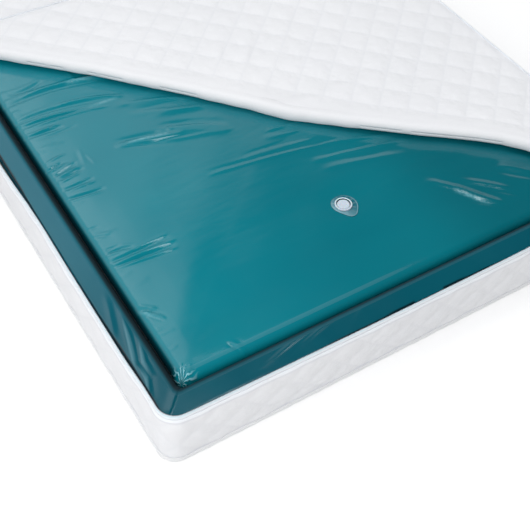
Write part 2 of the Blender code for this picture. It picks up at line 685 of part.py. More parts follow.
def build_slider(name, finish, location, heading):
    """A zip slider in front of the coils, and the pull tab on its pin. Its own X points out from the bed."""
    half_length, half_height = SLIDER_LENGTH / 2, SLIDER_HEIGHT / 2
    back, front = CLEARANCE, CLEARANCE + SLIDER_THICKNESS
    pin_reach = front + PIN_STANDOFF
    lug_inner = TAB_EYE_WIDTH / 2 + CLEARANCE
    lug_outer = lug_inner + LUG_THICKNESS
    holder = pivot(f"zip_slider_{name}_track", location)
    holder.rotation_euler = (0, 0, heading)
    body_shape = block((back, -half_length, -half_height), (front, half_length, half_height))
    body = place(f"zip_slider_{name}", body_shape, finish, parent=holder)
    for side in (-1, 1):
        low, high = sorted((side * lug_inner, side * lug_outer))
        lug = block(
            (front - PIN_RADIUS, low, -LUG_HEIGHT / 2), (front + LUG_REACH, high, LUG_HEIGHT / 2)
        )
        combine(body, place(f"lug_{name}_{side}", lug, finish, parent=holder), "UNION")
    pin = place(f"pin_{name}", rod(PIN_RADIUS, lug_inner + LUG_THICKNESS / 2), finish, parent=holder)
    pin.location = (pin_reach, 0, 0)
    combine(body, pin, "UNION")

    hinge = pivot(f"zip_pull_{name}_hinge", (pin_reach, 0, 0))
    hinge.parent = holder
    half_tab, half_eye = TAB_THICKNESS / 2, TAB_EYE_WIDTH / 2
    tab_shape = block((-half_tab, -TAB_WIDTH / 2, -TAB_LENGTH), (half_tab, TAB_WIDTH / 2, -TAB_NECK_LENGTH))
    tab = place(f"zip_pull_{name}", tab_shape, finish, parent=hinge)
    neck = block((-half_tab, -half_eye, -TAB_NECK_LENGTH - OVERRUN), (half_tab, half_eye, 0))
    combine(tab, place(f"tab_neck_{name}", neck, finish, parent=hinge), "UNION")
    combine(tab, place(f"tab_eye_{name}", rod(TAB_EYE_RADIUS, half_eye), finish, parent=hinge), "UNION")
    bore = rod(PIN_RADIUS + CLEARANCE, half_eye + OVERRUN)
    combine(tab, place(f"tab_bore_{name}", bore, finish, parent=hinge), "DIFFERENCE")


def main():
    """Clears the scene and builds the bed."""
    for item in list(bpy.data.objects):
        bpy.data.objects.remove(item)
    quilt = material("quilted_cover", (0.83, 0.84, 0.87), 0.85)
    trim = material("cover_trim", (0.88, 0.90, 0.93), 0.6)
    nylon = material("zip_nylon", (0.80, 0.82, 0.85), 0.4)
    foam = material("foam", (0.86, 0.82, 0.66), 0.95)
    heater = material("heater_film", (0.04, 0.04, 0.05), 0.6)
    rubber = material("lead_boss_rubber", (0.03, 0.03, 0.03), 0.7)
    liner_vinyl = material("liner_vinyl", (0.01, 0.13, 0.17), 0.35)
    bladder_vinyl = material("bladder_vinyl", (0.02, 0.30, 0.34), 0.2)
    clear_vinyl = material("clear_vinyl", (0.25, 0.55, 0.58), 0.15)
    fleece = material("fleece", (0.90, 0.91, 0.92), 0.95)
    water = material("water", (0.55, 0.80, 0.85), 0.05)
    white_plastic = material("white_plastic", (0.85, 0.90, 0.92), 0.35)
    steel = material("slider_metal", (0.75, 0.76, 0.78), 0.3, metallic=1.0)

    build_cover_base(quilt, trim)
    half_turn = Matrix.Rotation(math.pi, 4, FOLD_AXIS).to_quaternion()
    build_cover_top(quilt, trim, nylon, pivot("corner_flap_fold", FOLD_PIVOT, half_turn))
    base = build_frame(foam)
    build_heating(base, heater, rubber, white_plastic)
    build_liner(liner_vinyl)
    sheet, fill = build_bladder(bladder_vinyl, fleece, water)
    build_valve(sheet, fill, clear_vinyl, white_plastic)
    coil_face = BED_WIDTH / 2 - COIL_INSET
    coil_middle = BORDER_HEIGHT - CLEARANCE / 2
    build_slider("left", steel, (-coil_face, FOLD_LEFT_Y + SLIDER_PAST_FOLD, coil_middle), math.pi)
    right_y = max(FOLD_RIGHT_Y, CORNER_RADIUS - BED_LENGTH / 2) + SLIDER_PAST_FOLD
    build_slider("right", steel, (coil_face, right_y, coil_middle), 0)


main()
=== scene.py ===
"""Softside waterbed mattress with one corner of its quilted top cover folded back.

Everything is in metres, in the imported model's frame: X across the bed, Y from the foot to the head and Z
up from the floor. An inset is a distance inwards from the outer face of the border, and a length is
measured along that face from the head end of the left side, round the foot. Seam coordinates run along
the fold line, to the right, and square to it, towards the open corner. Longer tables
and profiles are written in millimetres.
"""

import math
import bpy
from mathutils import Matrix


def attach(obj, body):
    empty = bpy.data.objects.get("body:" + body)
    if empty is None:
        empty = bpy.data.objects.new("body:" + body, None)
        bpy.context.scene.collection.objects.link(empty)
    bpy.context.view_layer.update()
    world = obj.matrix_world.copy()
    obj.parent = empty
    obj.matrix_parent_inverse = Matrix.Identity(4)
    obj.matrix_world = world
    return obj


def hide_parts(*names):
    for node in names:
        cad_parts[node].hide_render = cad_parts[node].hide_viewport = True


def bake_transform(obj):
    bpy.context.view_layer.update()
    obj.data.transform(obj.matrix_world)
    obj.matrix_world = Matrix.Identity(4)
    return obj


bl_info = {
    "name": "Softside Waterbed",
    "version": (1, 0, 0),
    "blender": (4, 5, 0),
    "location": "View3D > Sidebar > Waterbed",
    "description": "Builds the cover, zip, liner, water mattress and valve of a softside waterbed",
    "category": "Object",
}

import bmesh
import bpy
import numpy as np
from bpy.props import FloatProperty, FloatVectorProperty, PointerProperty
from mathutils import Matrix, Vector

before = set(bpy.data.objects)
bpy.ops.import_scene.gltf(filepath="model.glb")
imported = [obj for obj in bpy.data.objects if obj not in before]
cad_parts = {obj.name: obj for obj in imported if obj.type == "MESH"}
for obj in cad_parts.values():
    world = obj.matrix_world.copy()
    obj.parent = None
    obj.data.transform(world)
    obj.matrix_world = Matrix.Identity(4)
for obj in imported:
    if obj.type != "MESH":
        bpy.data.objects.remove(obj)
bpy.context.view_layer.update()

# Bed
HALF_WIDTH = 0.70
HALF_LENGTH = 1.00
CORNER_RADIUS = 0.050
INNER_RADIUS = 0.014
WELD = 1e-6
DIAGONAL = math.sqrt(0.5)
UP = np.array([0, 0, 1])

# Border, from the floor up
BORDER_BOTTOM = 0.0023
BINDING_TOP = 0.0146
BORDER_TOP = 0.1757
FACE_INSET = 0.003
BACK_INSET = 0.0118
BORDER_ROUND = 0.006
BORDER_STEP = 0.005
BINDING_STEP = 0.006
BORDER_HEM = 0.0070
BASE_LEVEL = 0.0010
BASE_THICKNESS = 0.0014
JOIN_GAP = 0.00015

# Zip
TAPE_INSET = 0.0045
TAPE_HEIGHT = 0.011
LOWER_TAPE = 0.1760
UPPER_TAPE = 0.1927
LOWER_COIL = 0.1885
UPPER_COIL = 0.1912
COIL_INSET = 0.0050
COIL_PITCH = 0.0034
COIL_ACROSS = 0.00115
COIL_UP = 0.00075
COIL_WIRE = 0.00042
TAPE_STEP = 0.004
TAPE_FLOP = 0.003
SLIDER_OUT = 0.6965
SLIDER_LEVEL = 0.18985

# Quilted top
PANEL_INSET = 0.0058
PANEL_MIDDLE = 0.1993
PUFF = 0.018
SEWN = 0.0085
HEM = 0.006
FOLD_SUM = -0.244
FOLD_LEVEL = 0.20865
FOLD_REACH = 0.98175
ROLL_RADIUS = 0.01845
ROLL_WALL = 0.0006
ROLL_EDGE = (0.040, 0.075)
FLAP_SOFT = 0.0006

# Liner and water mattress, in a leaning foam frame
LINER_EDGE = 0.0103
LINER_TOP = 0.1795
LINER_FLOOR = 0.0241
LINER_WALL_FOOT = 0.1212
LINER_SHOULDER = 0.0218
LINER_SHOULDER_INSET = 0.05573
LINER_SHOULDER_LEVEL = 0.1577
MITRE_RISE = 0.0032
LEAN = math.radians(17.5)
BLADDER_SHOULDER = 0.028
BLADDER_SHOULDER_INSET = 0.11088
BLADDER_SHOULDER_LEVEL = 0.14942
BLADDER_SEAM = 0.0883
BLADDER_CLEAR = 0.1894
VALVE = (0.0, -0.65, 0.184)
VALVE_HOLE = 0.0152
PATCH_BORE = 0.0153

# Quilting's swatch: points to a square, squares along its side, frames of cloth
CELLS = 20
TILES = 4
SWATCH_FRAMES = 20
STITCH_WIDTH = 0.0035

# Stage: the camera's yaw, pitch and roll are in degrees
CAMERA_TURNS = (34.71, 49.28, 4.01)
CAMERA_PLACE = (-1.139, -1.962, 1.935)
CAMERA_LENS = 65.07
LAMP_LEVEL = 3.1
BED_LEVEL = 0.2
FLOOR_LEVEL = -0.0005
FLOOR_HALF = 30
FLOOR_GLOW = 0.31

# Lengths along the outline at which its straights and corners begin, with the corners' centres and turns
CORE = np.array([(-1, 1), (-1, -1), (-1, -1), (1, -1), (1, -1), (1, 1), (1, 1), (-1, 1), (-1, 1)], float)
CORE *= (HALF_WIDTH - CORNER_RADIUS, HALF_LENGTH - CORNER_RADIUS)
TURNS = np.array([2, 2, 3, 3, 4, 4, 5, 5, 6]) * math.pi / 2
LEGS = np.linalg.norm(np.diff(CORE, axis=0), axis=1) + CORNER_RADIUS * np.diff(TURNS)
STARTS = np.concatenate([[0], np.cumsum(LEGS)])
ROUND = STARTS[-1]
HEAD_JOIN = STARTS[5]


class BedShape(bpy.types.PropertyGroup):
    """Sizes that a user may change."""

    pitch: FloatProperty(name="Quilting pitch", description="Distance between lines of stitching",
                         default=0.0792, min=0.03, unit="LENGTH")
    border_relief: FloatProperty(name="Border relief", description="How far the border's quilting stands out",
                                 default=0.0036, min=0, unit="LENGTH")
    fold_wave: FloatProperty(name="Fold wave", description="How much the folded edge wanders, 1 as made",
                             default=1.0, min=0, max=1.2)
    wrinkle: FloatProperty(name="Wrinkles", description="Height of the vinyl's wrinkles, 1 as made",
                           default=1.0, min=0, max=2)


class BedColours(bpy.types.PropertyGroup):
    """Colours that a user may change."""

    cover: FloatVectorProperty(name="Cover", description="Quilted knit", subtype="COLOR",
                               default=(0.905, 0.911, 0.930), min=0, max=1)
    trim: FloatVectorProperty(name="Zip tape", description="Woven tape of the zip", subtype="COLOR",
                              default=(0.93, 0.96, 1.0), min=0, max=1)
    binding: FloatVectorProperty(name="Binding", description="Base cloth and the tape round it", subtype="COLOR",
                                 default=(0.92, 0.925, 0.93), min=0, max=1)
    bladder: FloatVectorProperty(name="Water mattress", description="Glossy vinyl", subtype="COLOR",
                                 default=(0.001, 0.213, 0.270), min=0, max=1)
    liner: FloatVectorProperty(name="Liner", description="Satin vinyl", subtype="COLOR",
                               default=(0.001, 0.086, 0.122), min=0, max=1)
    plastic: FloatVectorProperty(name="Valve", description="White plastic", subtype="COLOR",
                                 default=(0.62, 0.70, 0.79), min=0, max=1)


class Studio(bpy.types.PropertyGroup):
    """Light that a user may change."""

    sky: FloatProperty(name="Sky", description="Strength of the light from all round", default=0.615, min=0)
    ceiling: FloatProperty(name="Ceiling", description="Brightness overhead in what shiny pieces mirror, 1 as white",
                           default=0.04, min=0)
    key: FloatProperty(name="Key", description="Power of the soft light over the foot, in watts", default=60.0,
                       min=0)
    sheen: FloatProperty(name="Sheen light", description="Power of the light that shows in the vinyl, in watts",
                         default=22.0, min=0)
    glint: FloatProperty(name="Glint light", description="Power of the small light overhead, in watts",
                         default=8.0, min=0)


# Meshes


def grid_quads(rows, columns, close_rows=False, close_columns=False):
    """Quads between neighbouring points of a grid, which may join up on itself either way."""
    i = np.arange(rows if close_rows else rows - 1)[:, None]
    j = np.arange(columns if close_columns else columns - 1)[None, :]
    below, beside = (i + 1) % rows * columns, (j + 1) % columns
    corners = np.broadcast_arrays(i * columns + j, below + j, below + beside, i * columns + beside)
    return np.stack(corners, -1).reshape(-1, 4)


def in_scene(name, data):
    """A new object of the scene with its data."""
    made = bpy.data.objects.new(name, data)
    bpy.context.scene.collection.objects.link(made)
    return made


def piece(name, points, quads, finish, slot, marks=None, shell=True):
    """A mesh piece of points and quads, welded, with its faces outwards if it is a closed shell."""
    points = np.asarray(points, np.float32).reshape(-1, 3)
    mesh = bpy.data.meshes.new(name)
    mesh.vertices.add(len(points))
    mesh.vertices.foreach_set("co", points.ravel())
    mesh.loops.add(quads.size)
    mesh.loops.foreach_set("vertex_index", quads.astype(np.int32).ravel())
    mesh.polygons.add(len(quads))
    mesh.polygons.foreach_set("loop_start", np.arange(0, quads.size, 4, dtype=np.int32))
    mesh.update(calc_edges=True)
    for label, values in (marks or {}).items():
        mesh.attributes.new(label, "FLOAT", "POINT").data.foreach_set("value", np.float32(values).ravel())
    shape = bmesh.new()
    shape.from_mesh(mesh)
    bmesh.ops.remove_doubles(shape, verts=shape.verts, dist=WELD)
    loose = [vert for vert in shape.verts if not vert.link_faces]
    bmesh.ops.delete(shape, geom=loose, context="VERTS")
    if shell:
        bmesh.ops.recalc_face_normals(shape, faces=shape.faces)
    shape.to_mesh(mesh)
    shape.free()
    mesh.shade_smooth()
    mesh.materials.append(finish)
    made = in_scene(name, mesh)
    return made


def outline(lengths):
    """Centres of turning and outward directions at lengths along the bed's outline.

    Each point of the outline is a centre plus the corner radius times the direction. On a straight the
    centre moves and the direction stays, and round a corner it is the other way about.
    """
    lengths = np.asarray(lengths) % ROUND
    core = np.stack([np.interp(lengths, STARTS, CORE[:, axis]) for axis in (0, 1)], -1)
    turn = np.interp(lengths, STARTS, TURNS)
    return core, np.stack([np.cos(turn), np.sin(turn)], -1)


def swept(lengths, insets, levels):
    """A profile of insets and levels carried along the outline, one row for each length."""
    core, out = outline(lengths)
    insets, levels = np.broadcast_arrays(insets, levels)
    insets = np.broadcast_to(insets, (len(core), insets.shape[-1]))
    levels = np.broadcast_to(levels, insets.shape)
    plan = core[:, None] + (CORNER_RADIUS - insets)[..., None] * out[:, None]
    return np.concatenate([plan, levels[..., None]], -1)


def capped(points):
    """A tube's rows with one more at each end, drawn together in the middle of the section."""
    ends = [np.repeat(row.mean(axis=0, keepdims=True), len(row), axis=0) for row in (points[0], points[-1])]
    return np.concatenate([ends[0][None], points, ends[1][None]])


def unit(vectors):
    """Directions of vectors: each one divided by its length."""
    return vectors / np.maximum(np.linalg.norm(vectors, axis=-1, keepdims=True), WELD)


def ringed(line, first, second, radius, sides):
    """Rings round a line: each point plus the radius times (cos t first + sin t second)."""
    turn = (np.arange(sides) * 2 * math.pi / sides)[:, None]
    return line[:, None] + radius * (np.cos(turn) * first[:, None] + np.sin(turn) * second[:, None])


def tube(name, points, finish, slot, marks=None):
    """A closed section carried along a path, shut at both ends."""
    rows, columns = points.shape[:2]
    marks = {key: np.concatenate([value[:1], value, value[-1:]]) for key, value in (marks or {}).items()}
    return piece(name, capped(points), grid_quads(rows + 2, columns, close_columns=True), finish, slot, marks)


def place_on(made, body, replaced):
    """Rides a piece on a body and lets it stand for CAD nodes."""
    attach(made, body)
    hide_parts(*replaced)
    return made


def over_bed(insets, radii, across, along):
    """Plan of a sheet over the bed: a product grid whose outer rings are rounded at the corners.

    The rings lie at the insets, and the lines across and along fill the middle. Near a corner, a ring's
    point at distance d from where its two sides would meet moves onto an arc of radius r, at 45 degrees
    times (1 - d / r) from the side. Returns x, y, each point's inset before rounding, and the outward
    direction.
    """
    edges = [half - insets for half in (HALF_WIDTH, HALF_LENGTH)]
    x, y = np.meshgrid(*(np.concatenate([-edge, middle, edge[::-1]]) for edge, middle in
                         zip(edges, (across, along))), indexing="ij")
    dx, dy = HALF_WIDTH - np.abs(x), HALF_LENGTH - np.abs(y)
    near, far = np.minimum(dx, dy), np.maximum(dx, dy)
    radius = np.interp(near, insets, radii)
    turn = np.clip(1 - (far - near) / radius, 0, 1) * math.pi / 4
    cosine, sine = np.cos(turn), np.sin(turn)
    moved_near = near + radius * (1 - cosine)
    moved_far = np.where(turn > 0, near + radius * (1 - sine), far)
    beside = dx <= dy
    x = np.sign(x) * (HALF_WIDTH - np.where(beside, moved_near, moved_far))
    y = np.sign(y) * (HALF_LENGTH - np.where(beside, moved_far, moved_near))
    out_x, out_y = np.where(beside, cosine, sine) * np.sign(x), np.where(beside, sine, cosine) * np.sign(y)
    return x, y, near, out_x, out_y


def spaced(*rows):
    """Lines from one place to the next, each stretch with its own spacing."""
    return np.concatenate([np.linspace(start, end, math.ceil((end - start) / step), endpoint=False)
                           for (start, step), (end, _) in zip(rows, rows[1:])])


def rim(grid):
    """The outermost points of a grid, once round."""
    return np.concatenate([grid[:-1, 0], grid[-1, :-1], grid[:0:-1, -1], grid[0, :0:-1]])


def bell(distance, width):
    """1 in the middle and falling off on both sides: exp(-(distance / width) ** 2)."""
    return np.exp(-((distance / width) ** 2))


def moving_mean(values, reach, mode="edge"):
    """Each value as the mean of its neighbours within a reach, past the ends as np.pad's mode says."""
    return np.convolve(np.pad(values, reach, mode=mode), np.ones(2 * reach + 1) / (2 * reach + 1), mode="valid")


def capped_softly(values, top, soft):
    """Values that end softly at a top: what is over it becomes soft * (1 - exp(-over / soft))."""
    over = np.maximum(values - top, 0)
    return values - over + soft * (1 - np.exp(-over / soft))


def ridges(u, v, rows):
    """Height of soft ridges laid over a surface.

    Each row is a ridge: its start and end in (u, v), how far its middle bows to the left, its half width
    on the left and on the right, and its height. Across, it falls off as exp(-(s / width) ** 2), with a
    shallow trough beside it on the left. Along, it rises and falls as sin(pi t) ** 0.8.
    """
    height = np.zeros_like(u)
    for u0, v0, u1, v1, bow, left, right, rise in rows:
        length = math.hypot(u1 - u0, v1 - v0)
        du, dv = (u1 - u0) / length, (v1 - v0) / length
        t = ((u - u0) * du + (v - v0) * dv) / length
        inside = (t > 0) & (t < 1)
        share = t[inside]
        s = (v[inside] - v0) * du - (u[inside] - u0) * dv - bow * 4 * share * (1 - share)
        across = bell(s, np.where(s > 0, left, right)) - 0.35 * bell(s - 2 * left, left)
        height[inside] += rise * np.sin(math.pi * share) ** 0.8 * across
    return height


def smooth_step(low, high, value):
    """0 below low, 1 above high, and a smooth rise between."""
    t = np.clip((value - low) / (high - low), 0, 1)
    return t * t * (3 - 2 * t)


def between(start, full, fade, end, value):
    """0 outside start and end, 1 from full to fade, and smooth on both sides."""
    return smooth_step(start, full, value) * smooth_step(end, fade, value)


# Quilting


def sewn_swatch(pitch):
    """Relief of a swatch of quilting, 4 by 4 squares, blown up by Cloth with its stitch lines pinned.

    The result is a height share for each point, 0 on the stitching and about 1 in the middle of a square.
    """
    count = CELLS * TILES + 1
    line = np.arange(count) / CELLS
    rise = np.abs(np.sin(math.pi * line[:, None]) * np.sin(math.pi * line[None, :])) ** 0.6
    places = line * pitch
    x, y = np.meshgrid(places, places, indexing="ij")
    bumps = np.random.default_rng(3).normal(0, 0.0001, x.shape)
    points = np.stack([x, y, 0.001 * rise + bumps], -1).reshape(-1, 3)
    mesh = bpy.data.meshes.new("swatch")
    mesh.from_pydata(points.tolist(), [], grid_quads(count, count).tolist())
    swatch = in_scene("swatch", mesh)
    sewn = np.add.outer(np.arange(count) % CELLS == 0, np.arange(count) % CELLS == 0)
    swatch.vertex_groups.new(name="sewn").add(np.flatnonzero(sewn).tolist(), 1.0, "REPLACE")
    cloth = swatch.modifiers.new("cloth", "CLOTH")
    settings = cloth.settings
    settings.vertex_group_mass = "sewn"
    settings.use_pressure = True
    settings.uniform_pressure_force = 4.0
    settings.effector_weights.gravity = 0
    settings.shrink_min = settings.shrink_max = -0.022
    settings.bending_stiffness = 4.0
    settings.quality = 5
    cloth.collision_settings.use_collision = False
    cloth.point_cache.frame_start, cloth.point_cache.frame_end = 1, SWATCH_FRAMES
    for number in range(1, SWATCH_FRAMES + 1):
        bpy.context.scene.frame_set(number)
    settled = swatch.evaluated_get(bpy.context.evaluated_depsgraph_get())
    places = np.zeros(count * count * 3, np.float32)
    settled.data.vertices.foreach_get("co", places)
    relief = places.reshape(count, count, 3)[..., 2]
    bpy.context.scene.frame_set(1)
    bpy.data.objects.remove(swatch)
    bpy.data.meshes.remove(mesh)
    squares = relief[:-1, :-1].reshape(TILES, CELLS, TILES, CELLS).max(axis=(1, 3))
    return np.clip(relief / squares.mean(), 0, 1.15)


def quilting(across, along, pitch, swatch):
    """Height share of the quilting at seam coordinates, taken from the swatch, and nearness to a stitch line.

    Squares take the swatch's squares in turn, so that no two neighbours match. Between the swatch's points
    the height is a weighted mean of the four nearest.
    """
    a, b = across / pitch, along / pitch
    i, j = np.floor(a).astype(int), np.floor(b).astype(int)
    u, v = (a - i) * CELLS, (b - j) * CELLS
    p, q = np.minimum(u.astype(int), CELLS - 1), np.minimum(v.astype(int), CELLS - 1)
    u, v = u - p, v - q
    p, q = p + (i + 2 * j) % TILES * CELLS, q + (3 * j + i) % TILES * CELLS
    height = ((1 - u) * (1 - v) * swatch[p, q] + u * (1 - v) * swatch[p + 1, q]
              + (1 - u) * v * swatch[p, q + 1] + u * v * swatch[p + 1, q + 1])
    gap = np.minimum(np.abs(a - np.round(a)), np.abs(b - np.round(b))) * pitch
    return height, bell(gap, STITCH_WIDTH)


BORDER_LEAN = np.array([
    # length along the outline, how far the border's top leans out
    (494, 0), (700, 6), (900, 11.2), (1050, 11.2), (1150, 8.2), (1190, 5.6), (1300, 3.2), (1410, 4.6), (1600, 5),
    (1780, 4.4), (1820, 1), (1940, 1), (1990, 4.6), (2100, 5.6), (2450, 9.4), (2900, 9), (3300, 0),
]).T / 1000


def bow_of_border(lengths):
    """How far the slack border leans out along the open corner: most on the left, and gently at the foot."""
    fine = np.linspace(0, ROUND, 1401)
    return np.interp(np.asarray(lengths) % ROUND, fine, moving_mean(np.interp(fine, *BORDER_LEAN), 8))


def flop_of_tape(lengths):
    """How far the free zip tape's upper edge leans out along the open corner: less than nothing, as it leans in."""
    lengths = np.asarray(lengths) % ROUND
    left, right = fold_lengths()
    return -TAPE_FLOP * between(left, left + 0.12, right - 0.12, right, lengths)


BORDER_CREASES = np.array([
    # start, end (length, level), bow, widths, height
    (1700, 150, 1860, 20, 10, 12, 9, -1.6), (1800, 165, 1930, 60, 6, 10, 7, -1.2),
    (1960, 140, 2060, 24, -8, 10, 9, -1.4), (2020, 168, 2220, 90, 6, 12, 8, -1.2),
    (2060, 20, 2360, 50, 6, 9, 8, -1.6), (2160, 18, 2620, 34, 3, 7, 6, -1.4), (950, 150, 1200, 40, 8, 16, 10, -1.2),
    (550, 160, 740, 30, 6, 14, 10, -1.2), (2700, 160, 2900, 50, -6, 14, 10, -1.2),
    (3000, 150, 3160, 30, 8, 14, 10, -1.2), (3600, 160, 3800, 40, 8, 14, 10, -1.2),
    (4400, 155, 4600, 35, -8, 14, 10, -1.2), (5600, 155, 5780, 35, 8, 14, 10, -1.2),
    (6200, 160, 6400, 40, -8, 14, 10, -1.2),
]) / 1000


def border(name, start, end, finish, swatch, shape):
    """One length of quilted border, a closed pad carried along the outline.

    Its outer face is the face inset less the quilting's relief, sag and creases and a slight belly, and its
    top edge rounds in to the zip tape. Its back thins towards the top, and both lean out as the slack does.
    """
    lengths = np.linspace(start, end, int((end - start) / BORDER_STEP) + 1)
    quarter = np.array([0.25, 0.5, 0.75, 1]) * math.pi / 2
    levels = np.concatenate([
        np.linspace(BORDER_BOTTOM, BINDING_TOP, 4)[:-1], np.linspace(BINDING_TOP, 0.024, 5)[:-1],
        np.linspace(0.024, BORDER_TOP - 0.0105, 27), np.linspace(BORDER_TOP - 0.0090, BORDER_TOP - BORDER_ROUND, 3),
        BORDER_TOP - BORDER_ROUND * (1 - np.sin(quarter)),
    ])
    u, v = np.meshgrid(lengths, levels, indexing="ij")
    up = v - BINDING_TOP
    height, stitch = quilting((u - start + up) * DIAGONAL, (up - u + start) * DIAGONAL, shape.pitch, swatch)
    fade = between(BINDING_TOP, BINDING_TOP + 0.012, BORDER_TOP - 0.016, BORDER_TOP, v)
    belly = 0.0018 * np.sin(math.pi * np.clip(up / (BORDER_TOP - BINDING_TOP), 0, 1))
    sag = 0.0008 * np.sin(u * 9.1 + 0.7) + 0.0006 * np.sin(u * 23.7 + v * 31)
    rounding = 0.0018 * (1 - np.sqrt(1 - ((v - BORDER_TOP + BORDER_ROUND) / BORDER_ROUND).clip(0, 1) ** 2))
    relief = shape.border_relief * height + sag + ridges(u, v, BORDER_CREASES)
    outer = FACE_INSET - fade * relief - belly + rounding
    back_levels, back_insets = np.array([
        (BORDER_TOP, 0.0060), (0.172, 0.0068), (0.160, 0.0085), (0.140, 0.0105), (0.110, 0.0116),
        (0.060, BACK_INSET), (BORDER_BOTTOM, BACK_INSET),
    ]).T
    insets = np.concatenate([outer, np.tile(back_insets, (len(lengths), 1))], 1)
    levels = np.concatenate([levels, back_levels])
    insets -= bow_of_border(lengths)[:, None] * smooth_step(0.03, BORDER_TOP, levels)
    hem = BORDER_TOP - BORDER_HEM
    # Painted shadow: a grey line just under the zip tape's edge; the second line, above the binding, is stitching
    seam = bell(v - hem + 0.0022, 0.0022) + 1.2 * bell(up - 0.0050, 0.0040)
    marks = {"stitch": stitch * fade * 0.8 + 4.0 * seam, "tape": smooth_step(hem - 0.001, hem + 0.001, v)}
    marks = {label: np.pad(values, ((0, 0), (0, len(back_levels)))) for label, values in marks.items()}
    made = tube(name.replace("cover_", "quilted_"), swept(lengths, insets, levels), finish, "quilted_cover", marks)
    place_on(made, "mattress", [name])
    return made


FOLD_WANDER = np.array([
    # along the fold line, how far the folded edge runs past it
    (-1000, 0), (-930, 0), (-800, -1), (-700, -2), (-600, -5), (-500, -8), (-400, -5), (-300, -3), (-200, 0),
    (-120, 5.5), (-60, 9.5), (0, 13), (50, 18.5), (100, 20.5), (150, 16), (200, 10.5), (280, 1), (360, -8),
    (440, -16.5), (520, -28.7), (600, -39), (680, -44), (760, -38), (850, -22), (930, -4), (1000, 0),
]).T / 1000


def wander(along, shape):
    """How far the folded edge runs past the fold line: the table, smoothed by a moving mean."""
    fine = np.linspace(-1, 1, 801)
    return shape.fold_wave * np.interp(along, fine, moving_mean(np.interp(fine, *FOLD_WANDER), 9))


def half_turn(points):
    """Places of the closed corner, given their half turn about the fold line."""
    return np.stack([FOLD_SUM - points[..., 1], FOLD_SUM - points[..., 0], 2 * FOLD_LEVEL - points[..., 2]], -1)


def from_seam(along, toward):
    """Plan places of seam coordinates."""
    return (along - toward) * DIAGONAL, FOLD_SUM - (along + toward) * DIAGONAL


def into_outline(x, y, inset):
    """Places drawn onto a rounded rectangle: clamped to its sides, then each corner's square to a quarter disc.

    In a corner, shares p and q from 0 at the quarter's centre to 1 at the sides become p * sqrt(1 - q * q / 2)
    and q * sqrt(1 - p * p / 2), which puts both sides on the arc.
    """
    across, along, radius = HALF_WIDTH - inset, HALF_LENGTH - inset, CORNER_RADIUS - inset
    x, y = np.clip(x, -across, across), np.clip(y, -along, along)
    p, q = (np.abs(x) - across + radius) / radius, (np.abs(y) - along + radius) / radius
    corner = (p > 0) & (q > 0)
    p, q = np.where(corner, p, 0), np.where(corner, q, 0)
    moved_x = across - radius + radius * p * np.sqrt(1 - q * q / 2)
    moved_y = along - radius + radius * q * np.sqrt(1 - p * p / 2)
    return np.where(corner, np.sign(x) * moved_x, x), np.where(corner, np.sign(y) * moved_y, y)


def depth_inside(x, y, inset):
    """Distance of a place inside the rounded rectangle at an inset."""
    across, along, radius = HALF_WIDTH - inset, HALF_LENGTH - inset, CORNER_RADIUS - inset
    p, q = np.abs(x) - across + radius, np.abs(y) - along + radius
    return radius - np.where((p > 0) & (q > 0), np.hypot(p, q), np.maximum(p, q))


FLAP_FOLDS = np.array([
    # start, end (x, y), bow, widths, height, over the turned back corner
    (-10, -315, 400, -300, 10, 30, 22, 5.5), (-20, -235, 300, 75, -20, 22, 12, 4),
    (-50, -195, 160, 90, -12, 16, 10, 3.5), (-100, -130, 60, 80, -10, 16, 10, 3),
    (-300, 85, -60, 210, 10, 30, 20, 3.5), (300, -470, 620, -380, 10, 35, 25, 4),
    (450, -640, 700, -560, 6, 30, 20, 3.5), (100, -170, 550, -80, -15, 50, 40, 3),
    (200, 180, 680, 260, 10, 50, 40, 3),
]) / 1000


# Level of the turned back corner that lies on the water mattress when it is closed
FLAP_TOP = 2 * FOLD_LEVEL - PANEL_MIDDLE + PUFF / 2


def two_skins(top, bottom):
    """Points and quads of a pad: two skins over one grid, and a wall between them all round.

    Squares without an area are left out. The wall stands on each side that one square has alone, where two
    grid points count as one if their plan places agree to 10 micrometres.
    """
    quads = grid_quads(*top.shape[:2])
    flat = top.reshape(-1, 3)[:, :2]
    one, two = flat[quads[:, 2]] - flat[quads[:, 0]], flat[quads[:, 3]] - flat[quads[:, 1]]
    quads = quads[np.abs(one[:, 0] * two[:, 1] - one[:, 1] * two[:, 0]) > 1e-8]
    edges = np.concatenate([quads[:, [k, (k + 1) % 4]] for k in range(4)])
    _, same = np.unique(np.round(flat / 1e-5).astype(np.int64), axis=0, return_inverse=True)
    ends = np.sort(same.ravel()[edges], axis=1)
    real = ends[:, 0] != ends[:, 1]
    _, first, counts = np.unique(ends[real], axis=0, return_index=True, return_counts=True)
    near, far = edges[real][first[counts == 1]].T
    total = len(flat)
    walls = np.column_stack([far, near, near + total, far + total])
    return (np.concatenate([top.reshape(-1, 3), bottom.reshape(-1, 3)]),
            np.concatenate([quads, quads[:, ::-1] + total, walls]))


